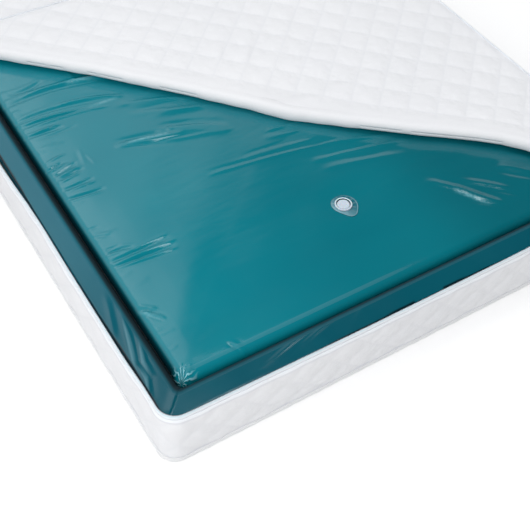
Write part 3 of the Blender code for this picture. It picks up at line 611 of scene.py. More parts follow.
def quilted_half(name, side, finish, swatch, shape, cells):
    """The quilted top on one side of the fold line: -1 the part that stays, 1 the corner that turns back.

    A grid along and square to the fold line, whose lines include the stitching, is drawn back from the line
    near it, where the folded edge falls short of it, and then into the outline. Two skins lie half the
    thickness above and below the middle level. Within one thickness of the fold, the skin underneath rises
    to the other as a quarter circle. The corner is made closed, then given its half turn about the fold
    line. Its folds end softly at the level that lies on the water mattress when closed.
    """
    step = shape.pitch / cells
    back, reach = (1.42, 1.75) if side < 0 else (1.05, 1.10)
    along = np.arange(-int(back / step), int(1.05 / step) + 1) * step
    toward = np.concatenate([[0, 0.15, 0.45, 0.8], np.arange(1, int(reach / step) + 1)]) * step * side
    a, n = np.meshgrid(along, toward, indexing="ij")
    pushed = n - side * np.minimum(wander(a, shape), 0.001) * bell(n, 0.13)
    x, y = into_outline(*from_seam(a, pushed), PANEL_INSET)
    deep = depth_inside(x, y, PANEL_INSET)
    height, stitch = quilting(a, n, shape.pitch, swatch)
    from_fold = np.abs(n)
    clear = smooth_step(*ROLL_EDGE, from_fold)
    height = np.maximum(height, 1 - clear)
    stitch = stitch * clear * smooth_step(0.004, 0.014, deep)
    edge = smooth_step(0.0, 0.022, deep)
    thickness = HEM + (SEWN - HEM + (PUFF - SEWN) * height) * edge
    upper = PANEL_MIDDLE + thickness / 2
    lower = upper - thickness * np.sqrt(1 - np.clip(1 - from_fold / thickness, 0, 1) ** 2)
    if side < 0:
        wave = 0.0012 * np.sin(a * 7.3 + 1.2) * np.sin(n * 5.9 + 0.4) * edge
        upper = upper + np.where(from_fold > 0.2, wave, 0)
    top, bottom = np.stack([x, y, upper], -1), np.stack([x, y, lower], -1)
    if side > 0:
        top, bottom = half_turn(top), half_turn(bottom)
        x, y = bottom[..., 0], bottom[..., 1]
        sunk = 0.0048 * bell(x - 0.16, 0.15) * bell(y + 0.22, 0.12)
        folds = ridges(x, y, FLAP_FOLDS) - sunk
        raised = bottom[..., 2] + folds * edge * smooth_step(0, 0.03, from_fold)
        bottom[..., 2] = capped_softly(raised, FLAP_TOP - FLAP_SOFT, FLAP_SOFT)
    made = piece(name, *two_skins(top, bottom), finish, "quilted_cover", {"stitch": np.tile(stitch.ravel(), 2)})
    return made


def fold_skin(finish, shape):
    """The padded roll over the fold, from under the part that stays to on top of the turned back corner.

    Across, it is an arc about the end of the flat layers, drawn out at its ends to lie on them. No row lies
    level with the fold line.
    """
    angles = np.radians(np.linspace(-92, 92, 30))
    share = np.linspace(-1, 1, 520)[:, None]
    radius = ROLL_RADIUS - 0.0062 * smooth_step(0.955, 1.0, np.abs(share))
    swollen = radius * (1 + 0.10 * bell(share - 0.07, 0.10))
    wobble = 0.0010 * np.sin(share * 31) + 0.0007 * np.sin(share * 77 + 1)
    edge = wander(share * FOLD_REACH, shape)
    toward = edge + wobble * smooth_step(1.0, 0.95, np.abs(share)) + radius * (np.cos(angles) - 1)
    level = FOLD_LEVEL + swollen * np.sin(angles)
    reach = np.array([0.005, 0.010, 0.016, 0.022])
    lift = np.array([0.0004, 0.0003, -0.0006, -0.0026])
    height = swollen + (PUFF - 0.0004 - swollen) * smooth_step(0, 0.014, reach) + lift
    toward = np.concatenate([(toward[:, :1] - reach)[:, ::-1], toward, toward[:, -1:] - reach], 1)
    level = np.concatenate([(FOLD_LEVEL - height)[:, ::-1], level, FOLD_LEVEL + height], 1)
    along = share * (FOLD_REACH - 0.004 - np.abs(toward))
    outer = np.stack([*from_seam(along, toward), level], -1)
    middle = np.stack([*from_seam(along, edge - radius), np.full_like(level, FOLD_LEVEL)], -1)
    inner = outer + unit(middle - outer) * ROLL_WALL
    made = tube("cover_fold", np.concatenate([outer, inner[:, ::-1]], 1), finish, "quilted_cover")
    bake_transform(made)
    return made


# Finishes


class Nodes:
    """A node tree that is put together node by node."""

    def __init__(self, tree):
        self.tree = tree

    def node(self, kind, inputs=(), **settings):
        """A node with its settings, and its inputs linked or set by name or number."""
        made = self.tree.nodes.new("ShaderNode" + kind)
        for label, value in settings.items():
            setattr(made, label, value)
        for label, value in dict(inputs).items():
            if isinstance(value, bpy.types.NodeSocket):
                self.tree.links.new(value, made.inputs[label])
            else:
                made.inputs[label].default_value = value
        return made

    def math(self, operation, first, second=0.5):
        """One sum."""
        return self.node("Math", {0: first, 1: second}, operation=operation).outputs[0]

    def fit(self, value, low, high, to_low, to_high, **settings):
        """A value's range mapped onto another."""
        return self.node("MapRange", {"Value": value, "From Min": low, "From Max": high, "To Min": to_low,
                                      "To Max": to_high}, **settings).outputs[0]

    def seen_directly(self):
        """1 for rays from the camera, and for those that mirrors and glass send on, else 0."""
        path = self.node("LightPath").outputs
        value = self.math("MAXIMUM", path["Is Camera Ray"], path["Is Glossy Ray"])
        return self.math("MAXIMUM", value, path["Is Transmission Ray"])


class Finish(Nodes):
    """A Principled material that is put together node by node."""

    def __init__(self, name, colour, roughness, **sockets):
        self.made = bpy.data.materials.new(name)
        self.made.use_nodes = True
        super().__init__(self.made.node_tree)
        self.shader = self.tree.nodes["Principled BSDF"]
        self.shader.inputs["Base Color"].default_value = (*colour, 1)
        self.shader.inputs["Roughness"].default_value = roughness
        for label, value in sockets.items():
            self.shader.inputs[label.replace("_", " ").title().replace("Ior", "IOR")].default_value = value
        self.place = self.node("TexCoord").outputs["Object"]
        self.normal = None

    def noise(self, scale, detail, stretch=(1, 1, 1), rough=0.5):
        """Noise over the piece, stretched if asked."""
        place = self.node("Mapping", {"Vector": self.place, "Scale": stretch}).outputs[0]
        return self.node("TexNoise", {"Vector": place, "Scale": scale, "Detail": detail, "Roughness": rough}).outputs[0]

    def wave(self, spacing, turn):
        """Fine ribs at a spacing, turned."""
        place = self.node("Mapping", {"Vector": self.place, "Rotation": turn}).outputs[0]
        scale = 2 * math.pi / spacing / 20
        return self.node("TexWave", {"Vector": place, "Scale": scale, "Distortion": 0.4,
                                     "Detail": 1.0, "Detail Scale": 2.0}).outputs["Fac"]

    def cells(self, scale, feature="F1"):
        """Distance in a field of cells."""
        return self.node("TexVoronoi", {"Vector": self.place, "Scale": scale}, feature=feature).outputs["Distance"]

    def mark(self, label, share=None):
        """A value that the mesh carries, or a share of it."""
        value = self.node("Attribute", attribute_name=label).outputs["Fac"]
        return value if share is None else self.math("MULTIPLY", value, share)

    def tint(self, share, other):
        """Mixes another colour into the base colour by a share."""
        socket = self.shader.inputs["Base Color"]
        before = socket.links[0].from_socket if socket.is_linked else socket.default_value
        mix = self.node("Mix", {0: share, 6: before, 7: (*other, 1)}, data_type="RGBA")
        self.tree.links.new(mix.outputs[2], socket)

    def mottle(self, scale, detail, low, high, share, other, **shape):
        """Tints by up to a share where noise rises from low to high."""
        self.tint(self.fit(self.noise(scale, detail, **shape), low, high, 0, share), other)

    def rough(self, value):
        """Sets the roughness from a value."""
        self.tree.links.new(value, self.shader.inputs["Roughness"])

    def uneven(self, scale, detail, smooth, dull, **shape):
        """Roughness that noise moves between two values."""
        self.rough(self.fit(self.noise(scale, detail, **shape), 0.3, 0.7, smooth, dull))

    def bump(self, height, depth, strength):
        """Adds a bump of a depth in metres."""
        inputs = {"Height": height, "Distance": depth, "Strength": strength}
        if self.normal:
            inputs["Normal"] = self.normal
        self.normal = self.node("Bump", inputs).outputs[0]
        self.tree.links.new(self.normal, self.shader.inputs["Normal"])

    def grain(self, scale, detail, depth, strength, **shape):
        """A bump of noise."""
        self.bump(self.noise(scale, detail, **shape), depth, strength)


# Where the crumples at the water mattress's open corner come together
FAN = (-0.612, -0.912)


def knit_finish(colours):
    """Quilted cotton and polyester knit: fine crossed ribs, fuzz, and grey lines along the stitching: partly the
    thread, partly painted shade in the quilting's valleys and under the zip tape.
    """
    made = Finish("quilted_knit", colours.cover, 0.86, sheen_weight=0.25, sheen_roughness=0.5)
    made.mottle(3.2, 2, 0.35, 0.7, 0.35, (0.82, 0.83, 0.86))
    # Painted shade: greyer along the stitch lines, where the quilting's valleys and the zip tape's edge would be shaded
    made.tint(made.mark("stitch", 0.14), (0.66, 0.68, 0.74))
    made.mottle(420, 2, 0.3, 0.75, 0.16, (0.68, 0.70, 0.74))
    made.tint(made.mark("tape"), colours.trim)
    for turn in ((0, 0, math.pi / 4), (math.pi / 2, 0, -math.pi / 4)):
        made.bump(made.wave(0.0022, turn), 0.00016, 0.5)
    made.grain(700, 3, 0.00022, 0.6)
    made.grain(38, 3, 0.0011, 0.5, rough=0.6)
    return made.made


def tape_finish(name, colour, rib):
    """Woven tape: close ribs across, a stitched line, and a soft shine."""
    made = Finish(name, colour, 0.55, sheen_weight=0.15)
    ribs = made.math("SINE", made.mark("along", 2 * math.pi / rib))
    made.tint(made.fit(ribs, -1, 1, 0, 0.08), (0.70, 0.74, 0.80))
    made.tint(made.mark("stitch", 0.5), (0.55, 0.58, 0.63))
    made.mottle(30, 3, 0.35, 0.7, 0.1, (0.80, 0.84, 0.90))
    made.tint(made.mark("top"), (0.62, 0.80, 0.88))
    made.bump(ribs, 0.00012, 0.6)
    made.grain(160, 2, 0.0002, 0.5)
    return made.made


def bladder_finish(colours):
    """Glossy water mattress vinyl: a calendered film with faint mottling, painted shade where the mesh says, and
    painted glints along some folds.

    At the open corner, fine crumples run out from one place: sin(17 turn + 15 noise), with painted highlights on their
    ridges.
    """
    made = Finish("bladder_vinyl_film", colours.bladder, 0.3, specular_ior_level=0.5)
    made.mottle(2.1, 3, 0.38, 0.68, 0.5, (0.001, 0.240, 0.296))
    made.mottle(5.5, 2, 0.42, 0.72, 0.35, (0.001, 0.191, 0.248), stretch=(0.4, 1.6, 1))
    # Painted shade: darker beside the shoulder where the vinyl turns down to the liner, and towards the right
    made.tint(made.mark("shade"), (0.0007, 0.024, 0.034))
    made.rough(made.math("ADD", made.fit(made.noise(7.0, 4), 0.3, 0.7, 0.13, 0.17), made.mark("soft", 0.42)))
    x, y, _ = made.node("SeparateXYZ", {0: made.place}).outputs
    turn = made.math("ARCTAN2", made.math("SUBTRACT", y, FAN[1]), made.math("SUBTRACT", x, FAN[0]))
    turn = made.math("ADD", made.math("MULTIPLY", turn, 17.0), made.math("MULTIPLY", made.noise(45, 3), 15.0))
    crumple = made.math("SINE", turn)
    made.bump(made.math("MULTIPLY", crumple, made.mark("fan")), 0.0009, 1.0)
    # Painted highlights: the corner's crumples are lighter where the sine is high
    made.tint(made.math("MULTIPLY", made.fit(crumple, 0.40, 0.95, 0, 0.9), made.mark("fan")), (0.30, 0.64, 0.72))
    # Painted glints: lighter streaks along some folds, broken up by noise
    made.tint(made.math("MULTIPLY", made.mark("shine"), made.fit(made.noise(90, 3), 0.35, 0.6, 0.30, 0.75)),
              (0.26, 0.60, 0.68))
    made.grain(26, 2, 0.0009, 0.35, stretch=(0.5, 1.6, 1))
    made.grain(900, 2, 0.00003, 0.4)
    return made.made


def liner_finish(colours):
    """Satin liner vinyl with a fine embossed grain, faint scuffs, painted sheen on the tops of some creases, painted
    light on the left flange, and painted shade where it turns down and along its outer edge.
    """
    made = Finish("liner_vinyl_film", colours.liner, 0.4, specular_ior_level=0.31)
    made.mottle(3.0, 3, 0.35, 0.7, 0.6, (0.001, 0.100, 0.138))
    made.mottle(14, 3, 0.55, 0.8, 0.3, (0.004, 0.12, 0.16), stretch=(1, 0.3, 1))
    # Painted light: the left flange lighter towards the head
    made.tint(made.mark("tone"), (0.001, 0.132, 0.186))
    # Painted sheen on the tops of the creases near the left corner
    made.tint(made.mark("painted_sheen", 0.6), (0.10, 0.27, 0.33))
    # Painted shade: where the liner turns down to the water mattress, and a painted shadow strip along its outer edge
    made.tint(made.mark("shade"), (0.0007, 0.016, 0.024))
    made.rough(made.math("ADD", made.fit(made.noise(9.0, 3), 0.3, 0.7, 0.14, 0.19), made.mark("turned", 0.55)))
    made.bump(made.cells(650, "SMOOTH_F1"), 0.00005, 0.5)
    made.grain(18, 2, 0.0008, 0.4)
    return made.made


def film_finish():
    """Clear weld patch: a tinted film that lets the vinyl show, with painted light on one side and a painted highlight
    near part of its rim.
    """
    made = Finish("clear_patch_film", (0.014, 0.15, 0.20), 0.16, coat_weight=0.6, coat_roughness=0.08)
    # Painted light on one side of the patch, and a painted highlight near part of its rim
    made.tint(made.mark("painted_light"), (0.30, 0.52, 0.60))
    made.mottle(60, 3, 0.4, 0.7, 0.3, (0.02, 0.20, 0.25))
    made.tint(made.mark("rim"), (0.001, 0.07, 0.10))
    made.grain(120, 2, 0.0005, 0.5)
    return made.made


def plastic_finish(colours):
    """Moulded, slightly clear white plastic with a fine surface, a painted highlight on one side of the cap's ring and
    a painted shadow in the dip inside it.
    """
    made = Finish("valve_plastic", colours.plastic, 0.32, subsurface_weight=0.15, subsurface_scale=0.004)
    made.mottle(180, 3, 0.35, 0.7, 0.25, (0.52, 0.61, 0.70))
    # Painted highlight: the ring lighter and bluer on one side
    made.tint(made.mark("rim"), (0.66, 0.84, 0.90))
    # Painted shadow: the dip inside the ring dark on the same side
    made.tint(made.mark("groove_shadow"), (0.02, 0.05, 0.06))
    made.uneven(300, 2, 0.26, 0.40)
    made.grain(1400, 2, 0.00003, 0.5)
    return made.made


def metal_finish():
    """Plated slider metal with fine brushing and worn patches."""
    made = Finish("plated_slider", (0.62, 0.63, 0.66), 0.3, metallic=1.0)
    made.mottle(500, 3, 0.45, 0.75, 0.4, (0.40, 0.41, 0.44))
    made.uneven(900, 2, 0.22, 0.42, stretch=(1, 1, 0.1))
    made.grain(1500, 2, 0.00002, 0.5, stretch=(1, 1, 0.1))
    return made.made


def nylon_finish(colours):
    """Nylon monofilament of the zip coil."""
    made = Finish("zip_monofilament", colours.trim, 0.35, coat_weight=0.2)
    made.mottle(240, 2, 0.4, 0.7, 0.35, (0.62, 0.66, 0.72))
    made.uneven(400, 2, 0.28, 0.45)
    return made.made


def plain_finish(name, colour, other, roughness, scale, depth, **sockets):
    """A material for a hidden piece: two tones and a bump at the scale of its own texture."""
    made = Finish(name, colour, roughness, **sockets)
    made.mottle(scale, 4, 0.35, 0.7, 0.7, other)
    made.uneven(scale * 2, 2, roughness * 0.85, min(1, roughness * 1.12))
    made.grain(scale * 3, 3, depth, 0.7, rough=0.6)
    return made.made


def foam_finish():
    """Open cell foam: pale, with small round cells and painted shade in their hollows."""
    made = Finish("cut_foam", (0.80, 0.75, 0.56), 0.95)
    # Painted shade: darker in the middle of each cell, where the bump sinks
    made.tint(made.fit(made.cells(520), 0.1, 0.55, 0.5, 0), (0.60, 0.54, 0.36))
    made.bump(made.cells(520), 0.0006, 0.8)
    return made.made


# Bands, tapes and coils


def tape_section(lengths, bottom, bow, flop, flip):
    """Section of a zip tape: thin, a little wavy, with a thicker edge next to the coil."""
    up = np.array([0, 0.18, 0.22, 0.5, 0.8, 1.0, 1.0, 0.8, 0.5, 0.22, 0.18, 0])
    outer = np.array([0.0002, 0.0002, 0, -0.0001, -0.0002, -0.0001] + [0.0010] * 6)
    if flip:
        up = 1 - up
    wave = 0.0004 * np.sin(lengths * 41) + 0.0003 * np.sin(lengths * 97 + 0.6)
    roll = 0.0014 * (np.abs(flop) / TAPE_FLOP)[:, None] * np.sin(math.pi * up)
    insets = TAPE_INSET + outer + wave[:, None] * np.sin(math.pi * up) - roll - bow[:, None] - flop[:, None] * up
    stitch = np.where((np.abs(up - 0.2) < 0.05) & (outer < 0.0005), 1.0, 0.0)
    return insets, bottom + up * TAPE_HEIGHT + np.zeros_like(insets), stitch


def coil(lengths, level, bow):
    """A zip coil: an oval helix round its own line on the outline, as a thin four-sided wire.

    The wire's middle is at (inset + a cos t, level + b sin t), with one turn in each pitch. Its section is
    spanned by the helix's own radius and the cross product of that and the wire's direction.
    """
    turn = (2 * math.pi * lengths / COIL_PITCH)[:, None]
    core, out = outline(lengths)
    plan = core + (CORNER_RADIUS - COIL_INSET + bow)[:, None] * out
    side = np.pad(out, ((0, 0), (0, 1)))
    spoke = np.cos(turn) * side * COIL_ACROSS + np.sin(turn) * UP * COIL_UP
    line = np.column_stack([plan, np.full(len(lengths), level)]) + spoke
    first = unit(spoke)
    return ringed(line, first, np.cross(unit(np.gradient(line, axis=0)), first), COIL_WIRE, 4)


def fold_lengths():
    """Lengths along the outline at which the fold line crosses the left and the right side."""
    left = HALF_LENGTH - CORNER_RADIUS - (FOLD_SUM + HALF_WIDTH)
    right = STARTS[4] + (FOLD_SUM - HALF_WIDTH) + HALF_LENGTH - CORNER_RADIUS
    return left, right


def lay(name, points, finish, slot, marks, body, replaced, turned):
    """A tube on a body, turned over with the corner if asked."""
    made = tube(name, half_turn(points) if turned else points, finish, slot, marks)
    return place_on(made, body, replaced)


def zip_run(name, start, end, finishes, body="mattress", lower=False, turned=False):
    """One run of zip: its tape and its coil. The lower half leans with the slack border."""
    tape, nylon = finishes
    tape_level, coil_level = (LOWER_TAPE, LOWER_COIL) if lower else (UPPER_TAPE, UPPER_COIL)
    lengths = np.linspace(start, end, int((end - start) / TAPE_STEP) + 1)
    bow, flop = (part(lengths) * lower for part in (bow_of_border, flop_of_tape))
    insets, levels, stitch = tape_section(lengths, tape_level, bow, flop, not lower)
    points = swept(lengths, insets, levels)
    marks = {"along": np.broadcast_to(lengths[:, None], points.shape[:2]),
             "stitch": np.broadcast_to(stitch, points.shape[:2]),
             "top": smooth_step(0.1815, 0.187, points[..., 2]) * lower * 0.8}
    lay(f"woven_tape_{name}", points, tape, "cover_trim", marks, body, [f"zip_tape_{name}"], turned)
    lengths = np.arange(start + 0.001, end - 0.001, COIL_PITCH / 7)
    bow = (bow_of_border(lengths) + flop_of_tape(lengths)) * lower
    lay(f"nylon_coil_{name}", coil(lengths, coil_level, bow), nylon, "zip_nylon", None, body,
        [f"zip_coil_{name}"], turned)


def binding(finish):
    """The binding round the base: a rounded tape with two sunk lines of stitching."""
    lengths = np.linspace(0, ROUND, int(ROUND / BINDING_STEP) + 1)[:-1]
    up = np.linspace(0, 1, 21)
    sunk, sewn = (bell(up - 0.20, width) + bell(up - 0.80, width) for width in (0.05, 0.06))
    swell = 0.0013 * np.sin(math.pi * up) ** 0.35 - 0.0007 * sunk
    wave = 0.0003 * np.sin(lengths * 61) + 0.0002 * np.sin(lengths * 147 + 1)
    outer = 0.0022 - swell + wave[:, None]
    bottom, top = BORDER_BOTTOM - 0.0006, BINDING_TOP
    insets = np.concatenate([outer, np.full((len(lengths), 2), 0.0029)], 1)
    points = swept(lengths, insets, np.append(bottom + up * (top - bottom), [top, bottom]))
    marks = {"along": np.broadcast_to(lengths[:, None], points.shape[:2]),
             "stitch": np.broadcast_to(np.append(sewn, [0, 0]), points.shape[:2])}
    quads = grid_quads(*points.shape[:2], close_rows=True, close_columns=True)
    made = piece("base_binding", points, quads, finish, "cover_trim", marks)
    return place_on(made, "mattress", ["cover_base_binding"])


def base_cloth(finish):
    """The cloth under the bed, stretched flat between its seams, with a slight pucker near the binding."""
    insets = np.array([0.0032, 0.0045, 0.008, 0.014, 0.022, 0.034, 0.05])
    across, along = (np.linspace(0.06 - half, half - 0.06, count) for half, count in
                     ((HALF_WIDTH, 56), (HALF_LENGTH, 80)))
    radii = np.maximum(CORNER_RADIUS - insets, 0.012)
    x, y, inset, *_ = over_bed(insets, radii, across, along)
    z = BASE_LEVEL + 0.0003 * np.sin(x * 260) * np.sin(y * 260) * smooth_step(0.06, 0.004, inset)
    made = piece("base_cloth", np.stack([x, y, z], -1), grid_quads(*x.shape)[:, ::-1], finish, "cover_trim",
                 {"along": x}, shell=False)
    solid = made.modifiers.new("thickness", "SOLIDIFY")
    solid.thickness = BASE_THICKNESS
    solid.offset = 0
    place_on(made, "mattress", ["cover_base_panel"])
    return made


def hung(top, out_x, out_y, back, down):
    """Rings that hang from a sheet's rim, drawn back and down by so much."""
    edge = rim(top)
    out = np.stack([rim(out_x), rim(out_y), np.zeros(len(edge))], -1)
    return edge[:, None] - back[:, None] * out[:, None] - down[:, None] * UP


def skirted(name, top, quads, rings, finish, slot, marks, node):
    """A sheet with its hanging rings as one piece. Each mark has values for the sheet and for the rings."""
    points = np.concatenate([top.reshape(-1, 3), rings.reshape(-1, 3)])
    faces = np.concatenate([quads, grid_quads(*rings.shape[:2], close_rows=True) + top[..., 0].size])
    marks = {label: np.append(sheet, np.broadcast_to(skirt, rings.shape[:2])) for label, (sheet, skirt) in
             marks.items()}
    made = piece(name, points, faces, finish, slot, marks, shell=False)
    return place_on(made, "mattress", [node])


# Vinyl


LINER_CREASES = np.array([
    # start, end (x, y), bow, widths, height
    (-640, -664, -693, -858, 2, 6, 5, 2.4), (-640, -755, -696, -925, 2, 6, 5, 2.6),
    (-648, -720, -686, -870, 2, 6, 5, 0.9), (-652, -610, -690, -740, 2, 7, 6, 1),
    (-440, -972, -250, -930, 3, 4, 3, 1.7), (-343, -968, -162, -926, 3, 4, 3, 1.7),
    (-206, -980, -134, -942, 3, 5, 4, 1),
]) / 1000
LINER_SHADOW_STRIP = np.array([
    # length along the outline, width of the painted shadow strip along the liner's outer edge, next to the border
    (900, 1), (1000, 5), (1100, 5.5), (1170, 3), (1240, 1.2), (1360, 1), (1450, 0), (1620, 1.5), (1700, 3.4),
    (1770, 5.2), (1850, 4.6), (1900, 3.2), (1940, 1.8), (1970, 0), (2300, 0), (2360, 3.2), (2500, 5), (2596, 8),
    (2601, 2), (2684, 2), (2688, 8.2), (2740, 6), (2840, 3), (2900, 0),
]).T / 1000


def liner(finish, shape):
    """The safety liner: a skirt tucked behind the border, a flange over the foam, its wall and its floor.

    The profile runs inwards from the flange's edge, over the foam's round shoulder and down its leaning
    face, and is laid round the bed. At the mitred corners a fold of vinyl stands up along the diagonal.
    """
    angles = math.pi / 2 + (LEAN - math.pi / 2) * np.linspace(0, 1, 12)[1:]
    arc_insets = LINER_SHOULDER_INSET + LINER_SHOULDER * np.cos(angles)
    arc_levels = LINER_SHOULDER_LEVEL + LINER_SHOULDER * np.sin(angles)
    wall = np.linspace(0, 1, 12)[1:]
    insets = np.concatenate([
        [LINER_EDGE, 0.0107, 0.0118, 0.0135], np.linspace(0.0160, LINER_SHOULDER_INSET, 16), arc_insets,
        arc_insets[-1] + wall * (LINER_WALL_FOOT - arc_insets[-1]), LINER_WALL_FOOT + np.array([0.01, 0.05]),
    ])
    levels = np.concatenate([
        [0.1770, 0.1784, 0.1792, LINER_TOP], np.full(16, LINER_TOP), arc_levels,
        arc_levels[-1] + wall * (LINER_FLOOR - arc_levels[-1]), [LINER_FLOOR] * 2,
    ])
    radii = np.maximum(CORNER_RADIUS - insets, INNER_RADIUS)
    across = spaced((-0.52, 0.0115), (-0.10, 0.0062), (0.20, 0.0115), (0.522, 0))
    along = spaced((-0.82, 0.0080), (0.45, 0.018), (0.822, 0))
    x, y, inset, out_x, out_y = over_bed(insets, radii, across, along)
    on_top = between(0.0105, 0.0145, 0.060, 0.080, inset)
    dx, dy = HALF_WIDTH - np.abs(x), HALF_LENGTH - np.abs(y)
    across_mitre = (dx - dy) * DIAGONAL
    fold = bell(across_mitre, np.where(across_mitre < 0, 0.010, 0.0016))
    lift = ridges(x, y, LINER_CREASES) * on_top * shape.wrinkle
    lift += MITRE_RISE * fold * between(0.012, 0.022, 0.070, 0.100, inset)
    lift += 0.0006 * np.sin(x * 19 + 1) * np.sin(y * 13) * on_top
    z = np.interp(inset, insets, levels) + np.maximum(lift, -0.0009)
    # Painted sheen on the tops of the creases on the left, away from the mitre
    painted_sheen = smooth_step(0.0008, 0.0022, lift) * smooth_step(-0.45, -0.60, x) * (np.abs(across_mitre) > 0.02)

    left, foot = (x < 0) & (dx <= dy), (y < 0) & (dy < dx)
    length = np.where(left, HALF_LENGTH - CORNER_RADIUS - y, STARTS[2] + x + CORE[3, 0])
    leaning = (bow_of_border(length) + flop_of_tape(length)) * smooth_step(0.052, 0.014, inset)
    top = np.stack([x, y - np.where(foot, leaning, 0), z], -1)
    skirt = hung(top, out_x, out_y, np.array([0.0, 0.0001, 0.0004, 0.0010, 0.0016]),
                 np.array([0.0, 0.004, 0.012, 0.022, 0.034]))
    # Painted shade where the liner turns down towards the water mattress, and a painted shadow strip along its outer
    # edge, as wide as the table says
    gap = np.where(left | foot, np.interp(length, *LINER_SHADOW_STRIP), 0)
    shade = np.where(left, smooth_step(0.057, 0.067, inset), 0.8 * smooth_step(0.059, 0.068, inset))
    shade = np.maximum(shade, smooth_step(gap + 0.0007, gap - 0.0007, inset - LINER_EDGE) * (gap > 0.0004))
    # Painted light: the left flange lighter towards the head
    tone = [np.where(part[..., 0] < -0.55, smooth_step(-0.98, -0.35, part[..., 1]), 0) for part in (top, skirt)]
    marks = {"shade": (shade, 0), "tone": tone, "turned": (smooth_step(0.0545, 0.0580, inset), 1),
             "painted_sheen": (painted_sheen, 0)}
    return skirted("liner_tray", top, grid_quads(*x.shape), skirt, finish, "liner_vinyl", marks, "safety_liner")


BLADDER_FOLDS = np.array([
    # start, end (x, y), bow, widths, height
    (-577, 166, -472, 174, -9, 7, 5, -2.8), (-619, 121, -317, 96, 16, 9, 6, -4.2),
    (-553, 138, -349, 108, 15, 6, 5, 2.8), (-444, 141, -288, 103, 4, 9, 10.5, 6.4),
    (-405, 189, -424, 118, 24, 5, 5, 3.8), (-614, 47, -335, 5, 17, 7, 5, -3.6), (-484, 57, -298, 5, 11, 6, 5, 3.4),
    (-614, 33, -387, -1, 7, 4, 4, 3.6), (-601, 7, -351, -15, 8, 4, 4, 3.2), (-608, 20, -433, 5, 6, 4, 4, -2.2),
    (-614, -22, -496, -31, 1, 6, 5, -3.1), (-600, -16, -501, -15, -1, 4, 4, 2.7),
    (-583, -44, -460, -42, -3, 4, 4, -1.7), (-607, -167, -559, -159, 0, 4, 4, -2.7),
    (-605, -176, -545, -166, 2, 4, 3, 2.4), (-599, -193, -523, -174, -1, 4, 4, -2.4),
    (-595, -203, -523, -192, 0, 4, 3, 2.3), (-591, -214, -517, -204, -1, 4, 4, -2.2),
    (-590, -223, -535, -219, 1, 4, 3, 1.8), (-595, -139, -536, -132, 2, 4, 4, 1.4),
    (-589, -85, -521, -87, 0, 6, 6, 0.8), (-601, -249, -510, -250, -2, 4, 4, -2.3),
    (-600, -259, -510, -263, -3, 4, 3, 2.2), (-608, -283, -499, -298, -4, 5, 4, -3.2),
    (-606, -292, -508, -306, -3, 4, 4, 1.6), (-605, -407, -569, -411, 1, 4, 4, -1.4),
    (-610, -431, -554, -458, 2, 4, 4, -1.1), (-595, -488, -552, -493, -1, 4, 4, -1.6),
    (-590, -502, -527, -515, 4, 4, 4, -2.7), (-603, -506, -547, -511, -1, 4, 3, 2),
    (-603, -528, -436, -528, -3, 5, 4, -3), (-599, -541, -428, -544, 0, 5, 4, 2.6),
    (-606, -544, -435, -559, -3, 5, 4, -3.2), (-599, -552, -436, -570, -2, 4, 4, 2.3),
    (-588, -561, -442, -581, 1, 5, 4, -1.2), (-612, -683, -571, -724, 4, 4, 4, -2.4),
    (-606, -693, -563, -748, 2, 4, 3, 2.6), (-600, -710, -568, -748, 3, 4, 4, -2),
    (-478, -875, -455, -920, 2, 5, 4, -2), (-464, -879, -442, -921, 0, 5, 4, 0.7),
    (-441, -902, -432, -930, 1, 4, 4, -1.6), (-348, -22, -104, -120, 19, 12, 10, 3.1),
    (-312, -22, -121, -92, 11, 12, 10, -2.8), (-331, -74, -93, -146, -1, 12, 10, 2.2),
    (-312, -61, -104, -131, 8, 12, 10, -1.8), (-289, -171, -106, -252, 9, 10, 25, 4.6),
    (-288, -110, -101, -159, 10, 10, 12, 1.6), (-414, -170, -226, -215, 3, 9, 11, 5.6),
    (-332, -208, -99, -267, 4, 10, 8, 1.8), (-308, -208, -156, -246, 3, 7, 6, -1.8),
    (-401, -180, -265, -236, 1, 7, 6, -1.4), (-137, -383, 78, -407, 2, 7, 5, 3.2),
    (-202, -390, 32, -418, 0, 7, 5, -2), (-250, -390, 101, -442, 7, 6, 5, 2.6), (63, -430, 284, -496, 4, 8, 7, 2.2),
    (18, -477, 301, -529, 2, 10, 8, 2.8), (48, -472, 270, -516, 7, 9, 7, -1.8),
    (25, -516, 272, -577, 6, 11, 9, 1.8), (-27, -317, 97, -328, -1, 7, 6, 2.2), (2, -332, 112, -345, 0, 7, 6, -1.8),
    (-53, -339, 106, -366, -1, 9, 8, 1.4), (241, -677, 323, -769, -1, 10, 10, 2.4),
    (243, -701, 315, -788, 1, 7, 6, -1), (293, -731, 377, -846, -3, 9, 10, 4.2),
    (301, -788, 365, -849, -4, 6, 6, -1.8), (323, -720, 425, -820, 2, 10, 7, 2.6),
    (336, -753, 431, -844, 4, 9, 7, -2.6), (448, -728, 524, -796, 2, 12, 9, 2.4),
    (435, -743, 517, -819, 0, 9, 8, -2.8), (493, -717, 555, -769, -1, 10, 8, -1.6),
]) / 1000


# Painted glints along some folds, in metres
BLADDER_PAINTED_GLINTS = (
    # start, end (x, y), bow, widths, share
    (-0.379, -0.176, -0.259, -0.196, 0.003, 0.007, 0.0070, 1.00),
    (-0.424, 0.130, -0.311, 0.120, 0.003, 0.006, 0.0070, 0.80),
    (-0.407, 0.007, -0.309, 0.008, 0.002, 0.006, 0.0060, 0.40),
    (0.286, -0.740, 0.347, -0.833, -0.002, 0.005, 0.0050, 0.80),
    (-0.610, -0.690, -0.571, -0.745, 0.001, 0.004, 0.0035, 0.60),
)


